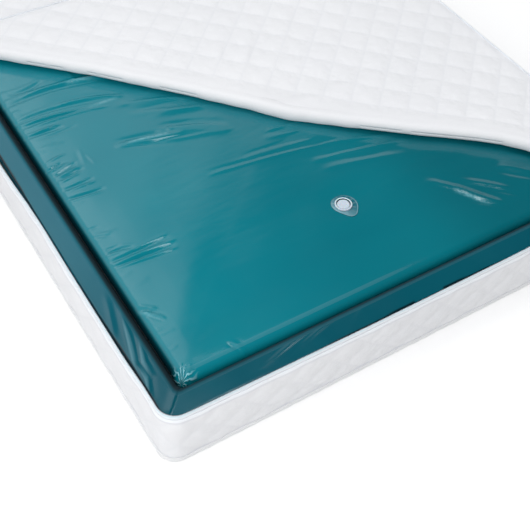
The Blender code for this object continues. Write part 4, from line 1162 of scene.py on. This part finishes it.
def edge_puckers():
    """A fan of crumples at the open corner, and faint short puckers at random.

    Those with places up to 0.30 lie along the left edge, and those past 1 in a row across the crown.
    """
    rng = np.random.default_rng(11)
    spokes = ((-3, 0.045), (13, 0.034), (30, 0.046), (49, 0.038), (66, 0.045), (84, 0.034), (98, 0.041))
    rows = [(*FAN, FAN[0] + reach * math.cos(math.radians(turn)), FAN[1] + reach * math.sin(math.radians(turn)),
             0.001, 0.0040, 0.0044, 0.0030) for turn, reach in spokes]
    for place in np.concatenate([rng.uniform(-0.86, 0.30, 34), rng.uniform(1.0, 2.1, 14)]):
        reach, slope = rng.uniform(0.02, 0.07), rng.uniform(-0.25, 0.25)
        start = 0.092 + rng.uniform(0, 0.012)
        if place > 1:
            place, start = place - 1.55 - HALF_WIDTH, start - 0.30
            ends = (place, start, place + slope * reach, start + reach)
        else:
            start -= HALF_WIDTH
            ends = (start, place, start + reach, place + slope * reach)
        rows.append((*ends, 0.0, rng.uniform(0.004, 0.007), rng.uniform(0.003, 0.005),
                     rng.uniform(0.0004, 0.0010)))
    return rows


def bladder_levels():
    """(inset, level) of the water mattress's top, from its widest point over the shoulder to the middle."""
    angles = np.linspace(0, math.pi / 2, 14)
    insets = BLADDER_SHOULDER_INSET - BLADDER_SHOULDER * np.cos(angles)
    levels = BLADDER_SHOULDER_LEVEL + BLADDER_SHOULDER * np.sin(angles)
    more = np.array([(0.125, 0.1781), (0.150, 0.1793), (0.200, 0.1811), (0.250, 0.1826), (0.305, 0.1840),
                     (0.395, 0.1842), (0.500, 0.1871), (0.600, 0.1900), (0.700, 0.1900)])
    return np.concatenate([insets, more[:, 0]]), np.concatenate([levels, more[:, 1]])


def bladder(finish, shape):
    """The top sheet of the water mattress: its wall, its round shoulder, and a crown with folds and puckers.

    The crown is a product grid, fine where the open corner shows it. Folds lift it along its own slope's
    normal, up to a level that clears the cover. Points near the valve are drawn onto a circle, and the
    squares inside it left out.
    """
    table_insets, table_levels = bladder_levels()
    rings = np.concatenate([table_insets[:14], [0.1140, 0.1175, 0.1210, 0.1250]])
    across = spaced((-0.571, 0.0036), (-0.435, 0.0063), (0.572, 0))
    along = spaced((-0.871, 0.0034), (-0.665, 0.0062), (-0.585, 0.0031), (-0.27, 0.0024), (-0.13, 0.0036),
                   (-0.02, 0.0031), (0.205, 0.028), (0.868, 0))
    x, y, inset, out_x, out_y = over_bed(rings, np.full(len(rings), INNER_RADIUS), across, along)
    level = np.interp(inset, table_insets, table_levels)
    slope = np.clip(np.interp(inset, table_insets, np.gradient(table_levels, table_insets)), 0, 12)
    folds = ridges(x, y, [*BLADDER_FOLDS, *edge_puckers()])
    calm = smooth_step(0.040, 0.075, np.hypot(x - VALVE[0], y - VALVE[1]))
    swell = (0.0008 * np.sin(x * 6.1 + 0.5) * np.sin(y * 5.3 + 1.1) + 0.0005 * np.sin(x * 14 + y * 9)
             + 0.0003 * np.sin(x * 31 - y * 23 + 0.4)) * smooth_step(0.11, 0.16, inset)
    swell += 0.0008 - 0.0020 * smooth_step(0.40, 0.58, inset)
    beside = smooth_step(0, 0.10, HALF_LENGTH - np.abs(y) - HALF_WIDTH - x)
    swell += 0.0012 * beside * (1 - np.exp(-np.maximum(inset - 0.111, 0) / 0.030)) * smooth_step(0.40, 0.20, inset)
    lift = (folds * shape.wrinkle + swell) * calm * smooth_step(0.083, 0.094, inset)
    lift = np.maximum(capped_softly(level + lift, BLADDER_CLEAR, 0.0007) - level, -0.0013)
    run = lift * slope / np.sqrt(1 + slope**2)
    x, y, z = x + run * out_x, y + run * out_y, level + lift / np.sqrt(1 + slope**2)
    gap = np.hypot(x - VALVE[0], y - VALVE[1])
    drawn = gap < VALVE_HOLE + 0.0028
    draw = np.where(drawn, VALVE_HOLE / np.maximum(gap, WELD), 1)
    x, y = VALVE[0] + (x - VALVE[0]) * draw, VALVE[1] + (y - VALVE[1]) * draw
    quads = grid_quads(*x.shape)
    quads = quads[~drawn.ravel()[quads].all(axis=1)]
    top = np.stack([x, y, z], -1)

    turn = LEAN * np.array([0, 0.5, 1])
    back, down = BLADDER_SHOULDER * (1 - np.cos(turn)), BLADDER_SHOULDER * np.sin(turn)
    fall = BLADDER_SHOULDER_LEVEL - down[-1] - BLADDER_SEAM
    wall = hung(top, out_x, out_y, np.append(back, back[-1] + fall * math.tan(LEAN)),
                np.append(down, down[-1] + fall))

    left = (x < 0) & (HALF_WIDTH + x <= HALF_LENGTH - np.abs(y))
    from_fan = np.hypot(x - FAN[0], y - FAN[1])
    # Where the crumples' bump and their painted highlights lie
    fan = between(0.001, 0.005, 0.016, 0.050, from_fan)
    soft = between(0.1000, 0.1045, 0.1090, 0.1125, inset) * (y < -0.8) * ~left * smooth_step(0.12, -0.12, x)
    # Painted shade: darker beside the shoulder on the left and faintly at the foot, none near the crumples, more
    # towards the right; the wall below is all shaded
    shade = np.where(left, smooth_step(0.0985, 0.0865, inset), 0.12 * smooth_step(0.092, 0.084, inset))
    shade = shade * smooth_step(0.010, 0.045, from_fan)
    shade = shade + 0.20 * (smooth_step(-0.45, 0.0, x) + smooth_step(0.08, 0.36, x)) * (1 - shade)
    # Painted glints along the listed folds
    shine = np.clip(ridges(x, y, BLADDER_PAINTED_GLINTS), 0, 1)
    marks = {"shade": (shade, 1), "fan": (fan, 0), "soft": (soft, 0), "shine": (shine, 0)}
    return skirted("water_mattress_top", top, quads, wall, finish, "bladder_vinyl", marks, "bladder_top_sheet")


# Valve


# Profiles in (radius, height)
NECK = (
    (10.5, -14), (15, -14), (15, -3.3), (23.8, -3.3), (24, -3), (24, -2), (23.6, -1.8), (15, -1.8), (15, 1.6),
    (14.6, 1.9), (15, 2.2), (14.8, 3), (14.2, 3.3), (11.2, 3.3), (10.5, 2.8),
)
CAP = (
    (0, 3.6), (12, 3.6), (15.1, 3.4), (15.3, 1.6), (22.5, 1.5), (22.9, 2), (22.9, 4.8), (22.6, 5.8), (21.7, 6.3),
    (20.5, 6.4), (19.5, 6), (19.2, 5.6), (19, 5), (18.8, 3), (18.5, 2.4), (17, 2.3), (16.4, 2.8), (16.2, 4.2),
    (15.7, 4.8), (14, 5), (11, 5.1), (10, 4.8), (6, 4.8), (0, 4.9),
)
PLUG = (
    (0, -8.3), (9, -8.3), (9.5, -7.8), (9.8, -4.5), (10, -4.2), (9.8, -3.9), (10.2, 1.2), (10.1, 1.6), (9.6, 1.8),
    (4.5, 1.8), (4, 2.2), (3.9, 2.7), (3.4, 2.9), (0, 2.9),
)


def turned_piece(name, profile, finish, closed, body, node, ripple=None, rings=None):
    """A body turned about the valve's axis through (radius, height) points in millimetres.

    A ripple is the points that it moves, its depth and its number of ribs. Marked rings are the points that
    carry a mark and how much the mark leans to one side.
    """
    sides = 72
    angle = np.arange(sides) * 2 * math.pi / sides
    radius, height = np.array(profile).T / 1000
    radii = np.tile(radius, (sides, 1))
    if ripple:
        rows, depth, count = ripple
        radii[:, rows] += depth * np.cos(angle * count)[:, None]
    x, y = radii * np.cos(angle)[:, None], radii * np.sin(angle)[:, None]
    points = np.stack([x, y, np.broadcast_to(height, x.shape)], -1) + VALVE
    quads = grid_quads(sides, len(radius), close_rows=True, close_columns=closed)
    marks = {label: np.clip(0.5 + lean * np.cos(angle - 0.96), 0, 1)[:, None] * np.isin(np.arange(len(radius)), rows)
             for label, (rows, lean) in (rings or {}).items()}
    return place_on(piece(name, points, quads, finish, "white_plastic", marks), body, [node])


PATCH_REACH = np.array([
    # turn in degrees, reach from the valve's middle
    (-180, 30), (-160, 29), (-140, 29.2), (-119, 32), (-105, 39), (-92, 47), (-80, 49), (-68, 44), (-55, 40),
    (-38, 38.5), (-20, 38.5), (0, 38.5), (20, 37.5), (43, 37), (62, 36.5), (85, 33.5), (113, 33.5), (135, 33.5),
    (158, 31.5), (180, 30),
]).T


def weld_patch(finish):
    """The clear patch under the valve: a film with a rounded tip, a welded rim and slight puckers."""
    sides = 96
    angle = np.arange(sides) * 2 * math.pi / sides - math.pi
    reach = moving_mean(np.interp(np.degrees(angle), PATCH_REACH[0], PATCH_REACH[1] / 1000), 4, "wrap")
    share = np.array([0.0, 0.2, 0.45, 0.65, 0.78, 0.85, 0.90, 0.95, 0.985, 1.0, 1.0])
    rise = np.array([0.6, 0.6, 0.6, 0.65, 0.75, 0.60, 0.55, 0.85, 0.90, 0.6, 0.0]) * 0.001
    radius = PATCH_BORE + share * (reach[:, None] - PATCH_BORE)
    angle = angle[:, None]
    level = np.maximum(0.00035 * np.sin(angle * 13) * np.sin(math.pi * share) + rise, 0.0001)
    level[:, -1] = 0.0
    # Painted light on one side of the patch, and a painted highlight near part of its rim
    painted_light = (0.5 + 0.5 * np.cos(angle + 2.8)) ** 2 * np.where(share < 0.97, 0.9, 0)
    painted_light = np.maximum(painted_light, (0.5 + 0.5 * np.cos(angle + 0.5)) ** 2 * bell(share - 0.92, 0.05) * 0.7)
    marks = {"painted_light": painted_light, "rim": np.broadcast_to(np.where(share > 0.98, 0.9, 0.0), radius.shape)}
    points = np.stack([radius * np.cos(angle), radius * np.sin(angle), level], -1)
    points = np.concatenate([points[:, :1] * (1, 1, 0), points], 1) + VALVE
    marks = {label: np.concatenate([values[:, :1], values], 1) for label, values in marks.items()}
    quads = grid_quads(sides, points.shape[1], close_rows=True, close_columns=True)
    made = piece("weld_patch", points, quads, finish, "clear_vinyl", marks)
    return place_on(made, "mattress", ["valve_patch"])


# Zip sliders


def oblong(half_length, half_width, corner, nose=1.0, count=9):
    """A rounded rectangle in (length, width), narrower at its far end by the nose share."""
    turns = np.concatenate([np.linspace(0, math.pi / 2, count) + k * math.pi / 2 for k in range(4)])
    signs = np.repeat([(1, 1), (-1, 1), (-1, -1), (1, -1)], count, axis=0)
    length = signs[:, 0] * (half_length - corner) + corner * np.cos(turns)
    width = signs[:, 1] * (half_width - corner) + corner * np.sin(turns)
    narrow = 1 + (nose - 1) * (length / half_length + 1) / 2
    return np.stack([length, width * narrow], -1)


def shut(rings):
    """Points and quads of rings joined into a bar that is shut at both ends."""
    grid = capped(rings)
    return grid.reshape(-1, 3), grid_quads(*grid.shape[:2], close_columns=True)


def stacked(outline_points, scales, depths):
    """A solid of one outline repeated at scales and depths, closed at both ends: (depth, length, width)."""
    rings = outline_points[None] * np.array(scales)[:, None, None]
    depth = np.broadcast_to(np.array(depths)[:, None, None], (*rings.shape[:2], 1))
    return shut(np.concatenate([depth, rings], -1))


def wire(path, radius, sides=12):
    """A round bar along points, shut at both ends."""
    path = np.array(path, float)
    heading = unit(np.gradient(path, axis=0))
    guide = unit(np.cross(heading, [0.31, 0.52, 0.80]))
    return shut(ringed(path, guide, np.cross(heading, guide), radius, sides))


def joined(parts):
    """Several sets of points and quads as one."""
    offset, points, quads = 0, [], []
    for places, faces in parts:
        points.append(places)
        quads.append(faces + offset)
        offset += len(places)
    return np.concatenate(points), np.concatenate(quads)


def slider(side, where, heading, finish):
    """A zip slider with its bridge, lugs and pin, and its pull tab, in front of the coils.

    Each is made of bars and stacked outlines in (outwards, along the zip, up), and then turned about Z.
    """
    spin = np.array(Matrix.Rotation(heading, 3, "Z"))
    pin_out = 0.0055
    body = [stacked(oblong(0.0080, 0.0060, 0.0026, nose=0.72), (0.96, 1.0, 1.0, 0.93, 0.80),
                    (0.0003, 0.0006, 0.0019, 0.0026, 0.0030))]
    for sign in (-1, 1):
        points, quads = stacked(oblong(0.0070, 0.0008, 0.0006), (1, 1, 0.6), (0.0022, 0.0033, 0.0036))
        body.append((points + (0, 0, sign * 0.0038), quads))
    turn = np.linspace(0, math.pi, 17)
    for sign in (-1, 1):
        lug = np.stack([0.0026 + 0.0044 * np.sin(turn), np.full(17, sign * 0.0031), -0.0016 * np.cos(turn)], -1)
        body.append(wire(lug, 0.0007))
    body.append(wire([(pin_out, y, 0) for y in np.linspace(-0.0036, 0.0036, 5)], 0.0008))

    plate = oblong(0.0124, 0.0040, 0.0036, nose=0.86)
    hole = oblong(0.0058, 0.0019, 0.0018, nose=0.9)
    half = 0.0008
    rings = []
    for outline_points, scale, depth in ((plate, 0.93, -half), (plate, 1.0, -half * 0.4), (plate, 1.0, half * 0.4),
                                         (plate, 0.93, half), (hole, 1.1, half), (hole, 1.0, half * 0.4),
                                         (hole, 1.0, -half * 0.4), (hole, 1.1, -half)):
        length, width = (outline_points * scale).T
        rings.append(np.stack([np.full(len(length), depth), width, -length - 0.0156], -1))
    grid = np.array(rings)
    tab = [(grid.reshape(-1, 3), grid_quads(*grid.shape[:2], close_rows=True, close_columns=True))]
    circle = np.linspace(0, 2 * math.pi, 25)
    for y in (-0.0010, 0.0010):
        tab.append(wire(np.stack([0.0015 * np.cos(circle), np.full(25, y), 0.0015 * np.sin(circle)], -1), 0.00055, 8))
    neck, quads = stacked(oblong(0.0012, 0.0020, 0.0006), (1, 1), (-0.0007, 0.0007))
    tab.append((neck[:, [0, 2, 1]] - (0, 0, 0.0029), quads))

    for label, parts, body_name, node, out in (("slider", body, "slider", "zip_slider", 0),
                                               ("pull_tab", tab, "pull", "zip_pull", pin_out)):
        points, quads = joined(parts)
        made = piece(f"{label}_{side}", (points + (out, 0, 0)) @ spin.T + where, quads, finish, "slider_metal")
        place_on(made, f"{side}_{body_name}", [f"{node}_{side}"])


# Operators


class Step(bpy.types.Operator):
    """What the steps share."""

    bl_options = {"REGISTER", "UNDO"}

    def execute(self, context):
        """Runs the step's own work with the scene's settings."""
        self.work(context.scene.waterbed_shape, context.scene.waterbed_colours, context.scene.waterbed_studio)
        return {"FINISHED"}


def set_camera():
    """The camera, at the photograph's angle."""
    yaw, pitch, roll = (math.radians(angle) for angle in CAMERA_TURNS)
    ahead = Vector((math.sin(yaw) * math.cos(pitch), math.cos(yaw) * math.cos(pitch), -math.sin(pitch)))
    level = Vector((math.cos(yaw), -math.sin(yaw), 0))
    rise = level.cross(ahead)
    right = math.cos(roll) * level + math.sin(roll) * rise
    up = -math.sin(roll) * level + math.cos(roll) * rise
    camera = in_scene("camera", bpy.data.cameras.new("camera"))
    camera.matrix_world = Matrix.LocRotScale(Vector(CAMERA_PLACE), Matrix((right, up, -ahead)).transposed(), None)
    camera.data.sensor_width = 36
    camera.data.lens = CAMERA_LENS
    camera.data.clip_end = 100
    bpy.context.scene.camera = camera


def set_world(studio):
    """Even light from all round, and what the camera, shiny pieces and glass see in its place.

    The camera sees white. Shiny pieces mirror white low down all round and high up on the left, but a dim
    ceiling. Each row is where a direction's share along a side is dim and where it is white, the least
    that is left where it is dim, and how it joins what is there: three walls, dim behind the camera, and
    dimmer near the floor.
    """
    world = bpy.data.worlds.new("studio")
    bpy.context.scene.world = world
    world.use_nodes = True
    made = Nodes(world.node_tree)
    sky = made.tree.nodes["Background"]
    sky.inputs["Color"].default_value = (0.975, 0.985, 1.0, 1)
    sky.inputs["Strength"].default_value = studio.sky
    direction = made.node("TexCoord").outputs["Generated"]
    strength = None
    for side, dim, white, least, join in (
        ((0, 0, 1), 0.56, 0.40, studio.ceiling, "MAXIMUM"),
        ((0.614, -0.430, 1), 0.74, 0.58, studio.ceiling, "MAXIMUM"),
        ((-0.891, 0.454, 0), 0.000, 0.062, studio.ceiling, "MAXIMUM"),
        ((0, 1, 0), -0.25, 0.0, studio.ceiling, "MULTIPLY"),
        ((0, 0, 1), 0.22, 0.46, 0.30, "MULTIPLY"),
    ):
        along = made.node("VectorMath", {0: direction, 1: side}, operation="DOT_PRODUCT").outputs["Value"]
        wall = made.fit(along, dim, white, least, 1.0, interpolation_type="SMOOTHSTEP")
        strength = made.math(join, strength, wall) if strength else wall
    strength = made.math("MAXIMUM", strength, made.node("LightPath").outputs["Is Camera Ray"])
    seen = made.node("Background", {"Color": (1, 1, 1, 1), "Strength": strength})
    mix = made.node("MixShader", {0: made.seen_directly(), 1: sky.outputs[0], 2: seen.outputs[0]})
    made.tree.links.new(mix.outputs[0], made.tree.nodes["World Output"].inputs[0])


def set_floor():
    """A pale floor that is white where it is seen, and keeps the bed's shadow."""
    made = Finish("studio_floor", (0.80, 0.80, 0.80), 0.9, specular_ior_level=0.0)
    glow = made.node("Emission", {"Strength": made.math("MULTIPLY", made.seen_directly(), FLOOR_GLOW)})
    both = made.node("AddShader", {0: made.shader.outputs[0], 1: glow.outputs[0]})
    made.tree.links.new(both.outputs[0], made.tree.nodes["Material Output"].inputs[0])
    corners = [(x * FLOOR_HALF, y * FLOOR_HALF, FLOOR_LEVEL) for x, y in ((-1, -1), (1, -1), (1, 1), (-1, 1))]
    floor = piece("floor", corners, np.array([[0, 1, 2, 3]]), made.made, None, shell=False)


def set_lamps(studio):
    """A soft key over the foot, three strips that show in the vinyl on the left, and two small ones overhead."""
    lamps = [("key_light", (-2.8, -2.4, 2.6), (0.0, -0.2, BED_LEVEL), (2.2, 2.2), studio.key, (1.0, 0.99, 0.98))]
    for name, x, size in (("inner", -0.72, (1.2, 2.0)), ("middle", -0.64, (1.4, 2.5)), ("outer", -0.54, (1.6, 3.0))):
        lamps.append((f"sheen_light_{name}", (x, 2.2, LAMP_LEVEL), (x, 1.6, BED_LEVEL), size, studio.sheen * 0.4,
                      (0.97, 0.99, 1.0)))
    for name, x, y, size, watts in (("glint_light", 0.33, -0.12, (0.36, 1.1), studio.glint),
                                    ("glint_light_right", 0.93, -0.41, (0.4, 0.4), studio.glint * 0.4)):
        lamps.append((name, (x, y, LAMP_LEVEL), (x, y, BED_LEVEL), size, watts, (1.0, 1.0, 1.0)))
    for name, place, aim, size, watts, tone in lamps:
        lamp = in_scene(name, bpy.data.lights.new(name, "AREA"))
        lamp.data.shape = "RECTANGLE"
        lamp.data.size, lamp.data.size_y = size
        lamp.data.energy = watts
        lamp.data.color = tone
        lamp.location = place
        lamp.rotation_mode = "QUATERNION"
        lamp.rotation_quaternion = (Vector(aim) - Vector(place)).to_track_quat("-Z", "Y")
        lamp.visible_camera = False


class WATERBED_OT_stage(Step):
    """Camera, floor, sky and soft lights"""

    bl_idname = "waterbed.stage"
    bl_label = "Stage"

    def work(self, shape, colours, studio):
        """Sets what the bed is seen with and on."""
        set_camera()
        set_world(studio)
        set_floor()
        set_lamps(studio)
        bpy.context.scene.view_settings.view_transform = "Standard"


class WATERBED_OT_cover(Step):
    """Quilted border, top panel, turned back corner and the roll over its fold"""

    bl_idname = "waterbed.cover"
    bl_label = "Quilted Cover"

    def work(self, shape, colours, studio):
        """Blows up one swatch, and takes all the quilting from it."""
        finish = knit_finish(colours)
        swatch = sewn_swatch(shape.pitch)
        border("cover_border_strip", JOIN_GAP, HEAD_JOIN - JOIN_GAP, finish, swatch, shape)
        border("cover_border_head", HEAD_JOIN + JOIN_GAP, ROUND - JOIN_GAP, finish, swatch, shape)
        panel = quilted_half("quilted_top_panel", -1, finish, swatch, shape, 12)
        place_on(panel, "mattress", ["cover_top_panel"])
        corner = quilted_half("quilted_corner", 1, finish, swatch, shape, 16)
        place_on(corner, "folded_corner", ["corner_flap"])
        fold_skin(finish, shape)


class WATERBED_OT_base(Step):
    """Base cloth and the binding round it"""

    bl_idname = "waterbed.base"
    bl_label = "Base"

    def work(self, shape, colours, studio):
        """Both are of woven trim."""
        finish = tape_finish("binding_tape", colours.binding, 0.0016)
        base_cloth(finish)
        binding(finish)


class WATERBED_OT_zip(Step):
    """Zip tapes, coils, sliders and pull tabs"""

    bl_idname = "waterbed.zip"
    bl_label = "Zip"

    def work(self, shape, colours, studio):
        """The lower run goes all the way round, and the upper one is parted at the fold line."""
        finishes = tape_finish("zip_tape_weave", colours.trim, 0.0012), nylon_finish(colours)
        left, right = fold_lengths()
        gap = 0.0006
        zip_run("lower", 0, ROUND, finishes, lower=True)
        zip_run("upper", right + gap, ROUND + left - gap, finishes)
        zip_run("flap", left + gap, right - gap, finishes, "folded_corner", turned=True)
        metal = metal_finish()
        slider("left", (-SLIDER_OUT, 0.476, SLIDER_LEVEL), math.pi, metal)
        slider("right", (SLIDER_OUT, -0.924, SLIDER_LEVEL), 0, metal)


class WATERBED_OT_liner(Step):
    """Safety liner over the foam frame"""

    bl_idname = "waterbed.liner"
    bl_label = "Liner"

    def work(self, shape, colours, studio):
        """One sheet with mitred corners."""
        liner(liner_finish(colours), shape)


class WATERBED_OT_bladder(Step):
    """Water mattress"""

    bl_idname = "waterbed.bladder"
    bl_label = "Water Mattress"

    def work(self, shape, colours, studio):
        """The top sheet is made new, and the bottom one keeps its shape."""
        finish = bladder_finish(colours)
        bladder(finish, shape)
        dress("bladder_bottom_sheet", finish)


class WATERBED_OT_valve(Step):
    """Filler valve: patch, neck, stopper and cap"""

    bl_idname = "waterbed.valve"
    bl_label = "Valve"

    def work(self, shape, colours, studio):
        """Heights are above the level of the vinyl round the valve."""
        plastic = plastic_finish(colours)
        weld_patch(film_finish())
        turned_piece("neck", NECK, plastic, True, "mattress", "valve_neck")
        # The ring's painted highlight and the painted shadow in the dip inside it, both on one side
        rings = {"rim": ([8, 9, 10, 11], 0.5), "groove_shadow": ([12, 13, 14, 15, 16, 17], 1.0)}
        turned_piece("cap", CAP, plastic, False, "cap", "valve_cap", (slice(5, 7), 0.00025, 36), rings)
        turned_piece("stopper", PLUG, plastic, False, "plug", "valve_plug")


def dress(node, finish):
    """Gives a CAD node a new material."""
    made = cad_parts[node]
    made.data.materials.clear()
    made.data.materials.append(finish)


class WATERBED_OT_inside(Step):
    """Finishes for the pieces inside: foam, heating, fibre layers and water"""

    bl_idname = "waterbed.inside"
    bl_label = "Inside"

    def work(self, shape, colours, studio):
        """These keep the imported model's shapes."""
        foam = foam_finish()
        fleece = plain_finish("polyester_fleece", (0.86, 0.87, 0.88), (0.74, 0.76, 0.79), 0.95, 90, 0.002,
                              sheen_weight=0.4)
        film = plain_finish("heater_film_sheet", (0.035, 0.035, 0.040), (0.07, 0.07, 0.075), 0.5, 70, 0.0004)
        rubber = plain_finish("moulded_rubber", (0.025, 0.025, 0.027), (0.05, 0.05, 0.05), 0.7, 260, 0.0003)
        sensor = plain_finish("sensor_plastic", (0.80, 0.82, 0.84), (0.70, 0.72, 0.75), 0.4, 200, 0.0002)
        water = plain_finish("clear_water", (0.55, 0.80, 0.85), (0.45, 0.74, 0.80), 0.05, 8, 0.001,
                             transmission_weight=0.8, ior=1.33)
        finishes = {"foam": foam, "fleece": fleece, "water": water, "heater_mat": film,
                    "heater_lead_boss": rubber, "heater_sensor": sensor}
        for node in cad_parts:
            for start, finish in finishes.items():
                if node.startswith(start):
                    dress(node, finish)


class WATERBED_PT_panel(bpy.types.Panel):
    """Lists the steps and the settings"""

    bl_idname = "WATERBED_PT_panel"
    bl_label = "Softside Waterbed"
    bl_space_type = "VIEW_3D"
    bl_region_type = "UI"
    bl_category = "Waterbed"

    def draw(self, context):
        """Draws the steps in their order, then every setting."""
        for step in STEPS:
            self.layout.operator(step.bl_idname)
        for group in (context.scene.waterbed_shape, context.scene.waterbed_colours, context.scene.waterbed_studio):
            for label in group.bl_rna.properties.keys()[2:]:
                self.layout.prop(group, label)


STEPS = (WATERBED_OT_stage, WATERBED_OT_cover, WATERBED_OT_base, WATERBED_OT_zip, WATERBED_OT_liner,
         WATERBED_OT_bladder, WATERBED_OT_valve, WATERBED_OT_inside)
GROUPS = {"waterbed_shape": BedShape, "waterbed_colours": BedColours, "waterbed_studio": Studio}


def register():
    """Registers the classes and hangs the settings on the scene."""
    for kind in (*GROUPS.values(), *STEPS, WATERBED_PT_panel):
        bpy.utils.register_class(kind)
    for label, kind in GROUPS.items():
        setattr(bpy.types.Scene, label, PointerProperty(type=kind))


def unregister():
    """Takes all of it back."""
    for label in GROUPS:
        delattr(bpy.types.Scene, label)
    for kind in (WATERBED_PT_panel, *STEPS[::-1], *GROUPS.values()):
        bpy.utils.unregister_class(kind)


def main():
    """Builds the bed on its stage."""
    register()
    for step in STEPS:
        group, label = step.bl_idname.split(".")
        getattr(getattr(bpy.ops, group), label)()


if __name__ == "__main__":
    main()
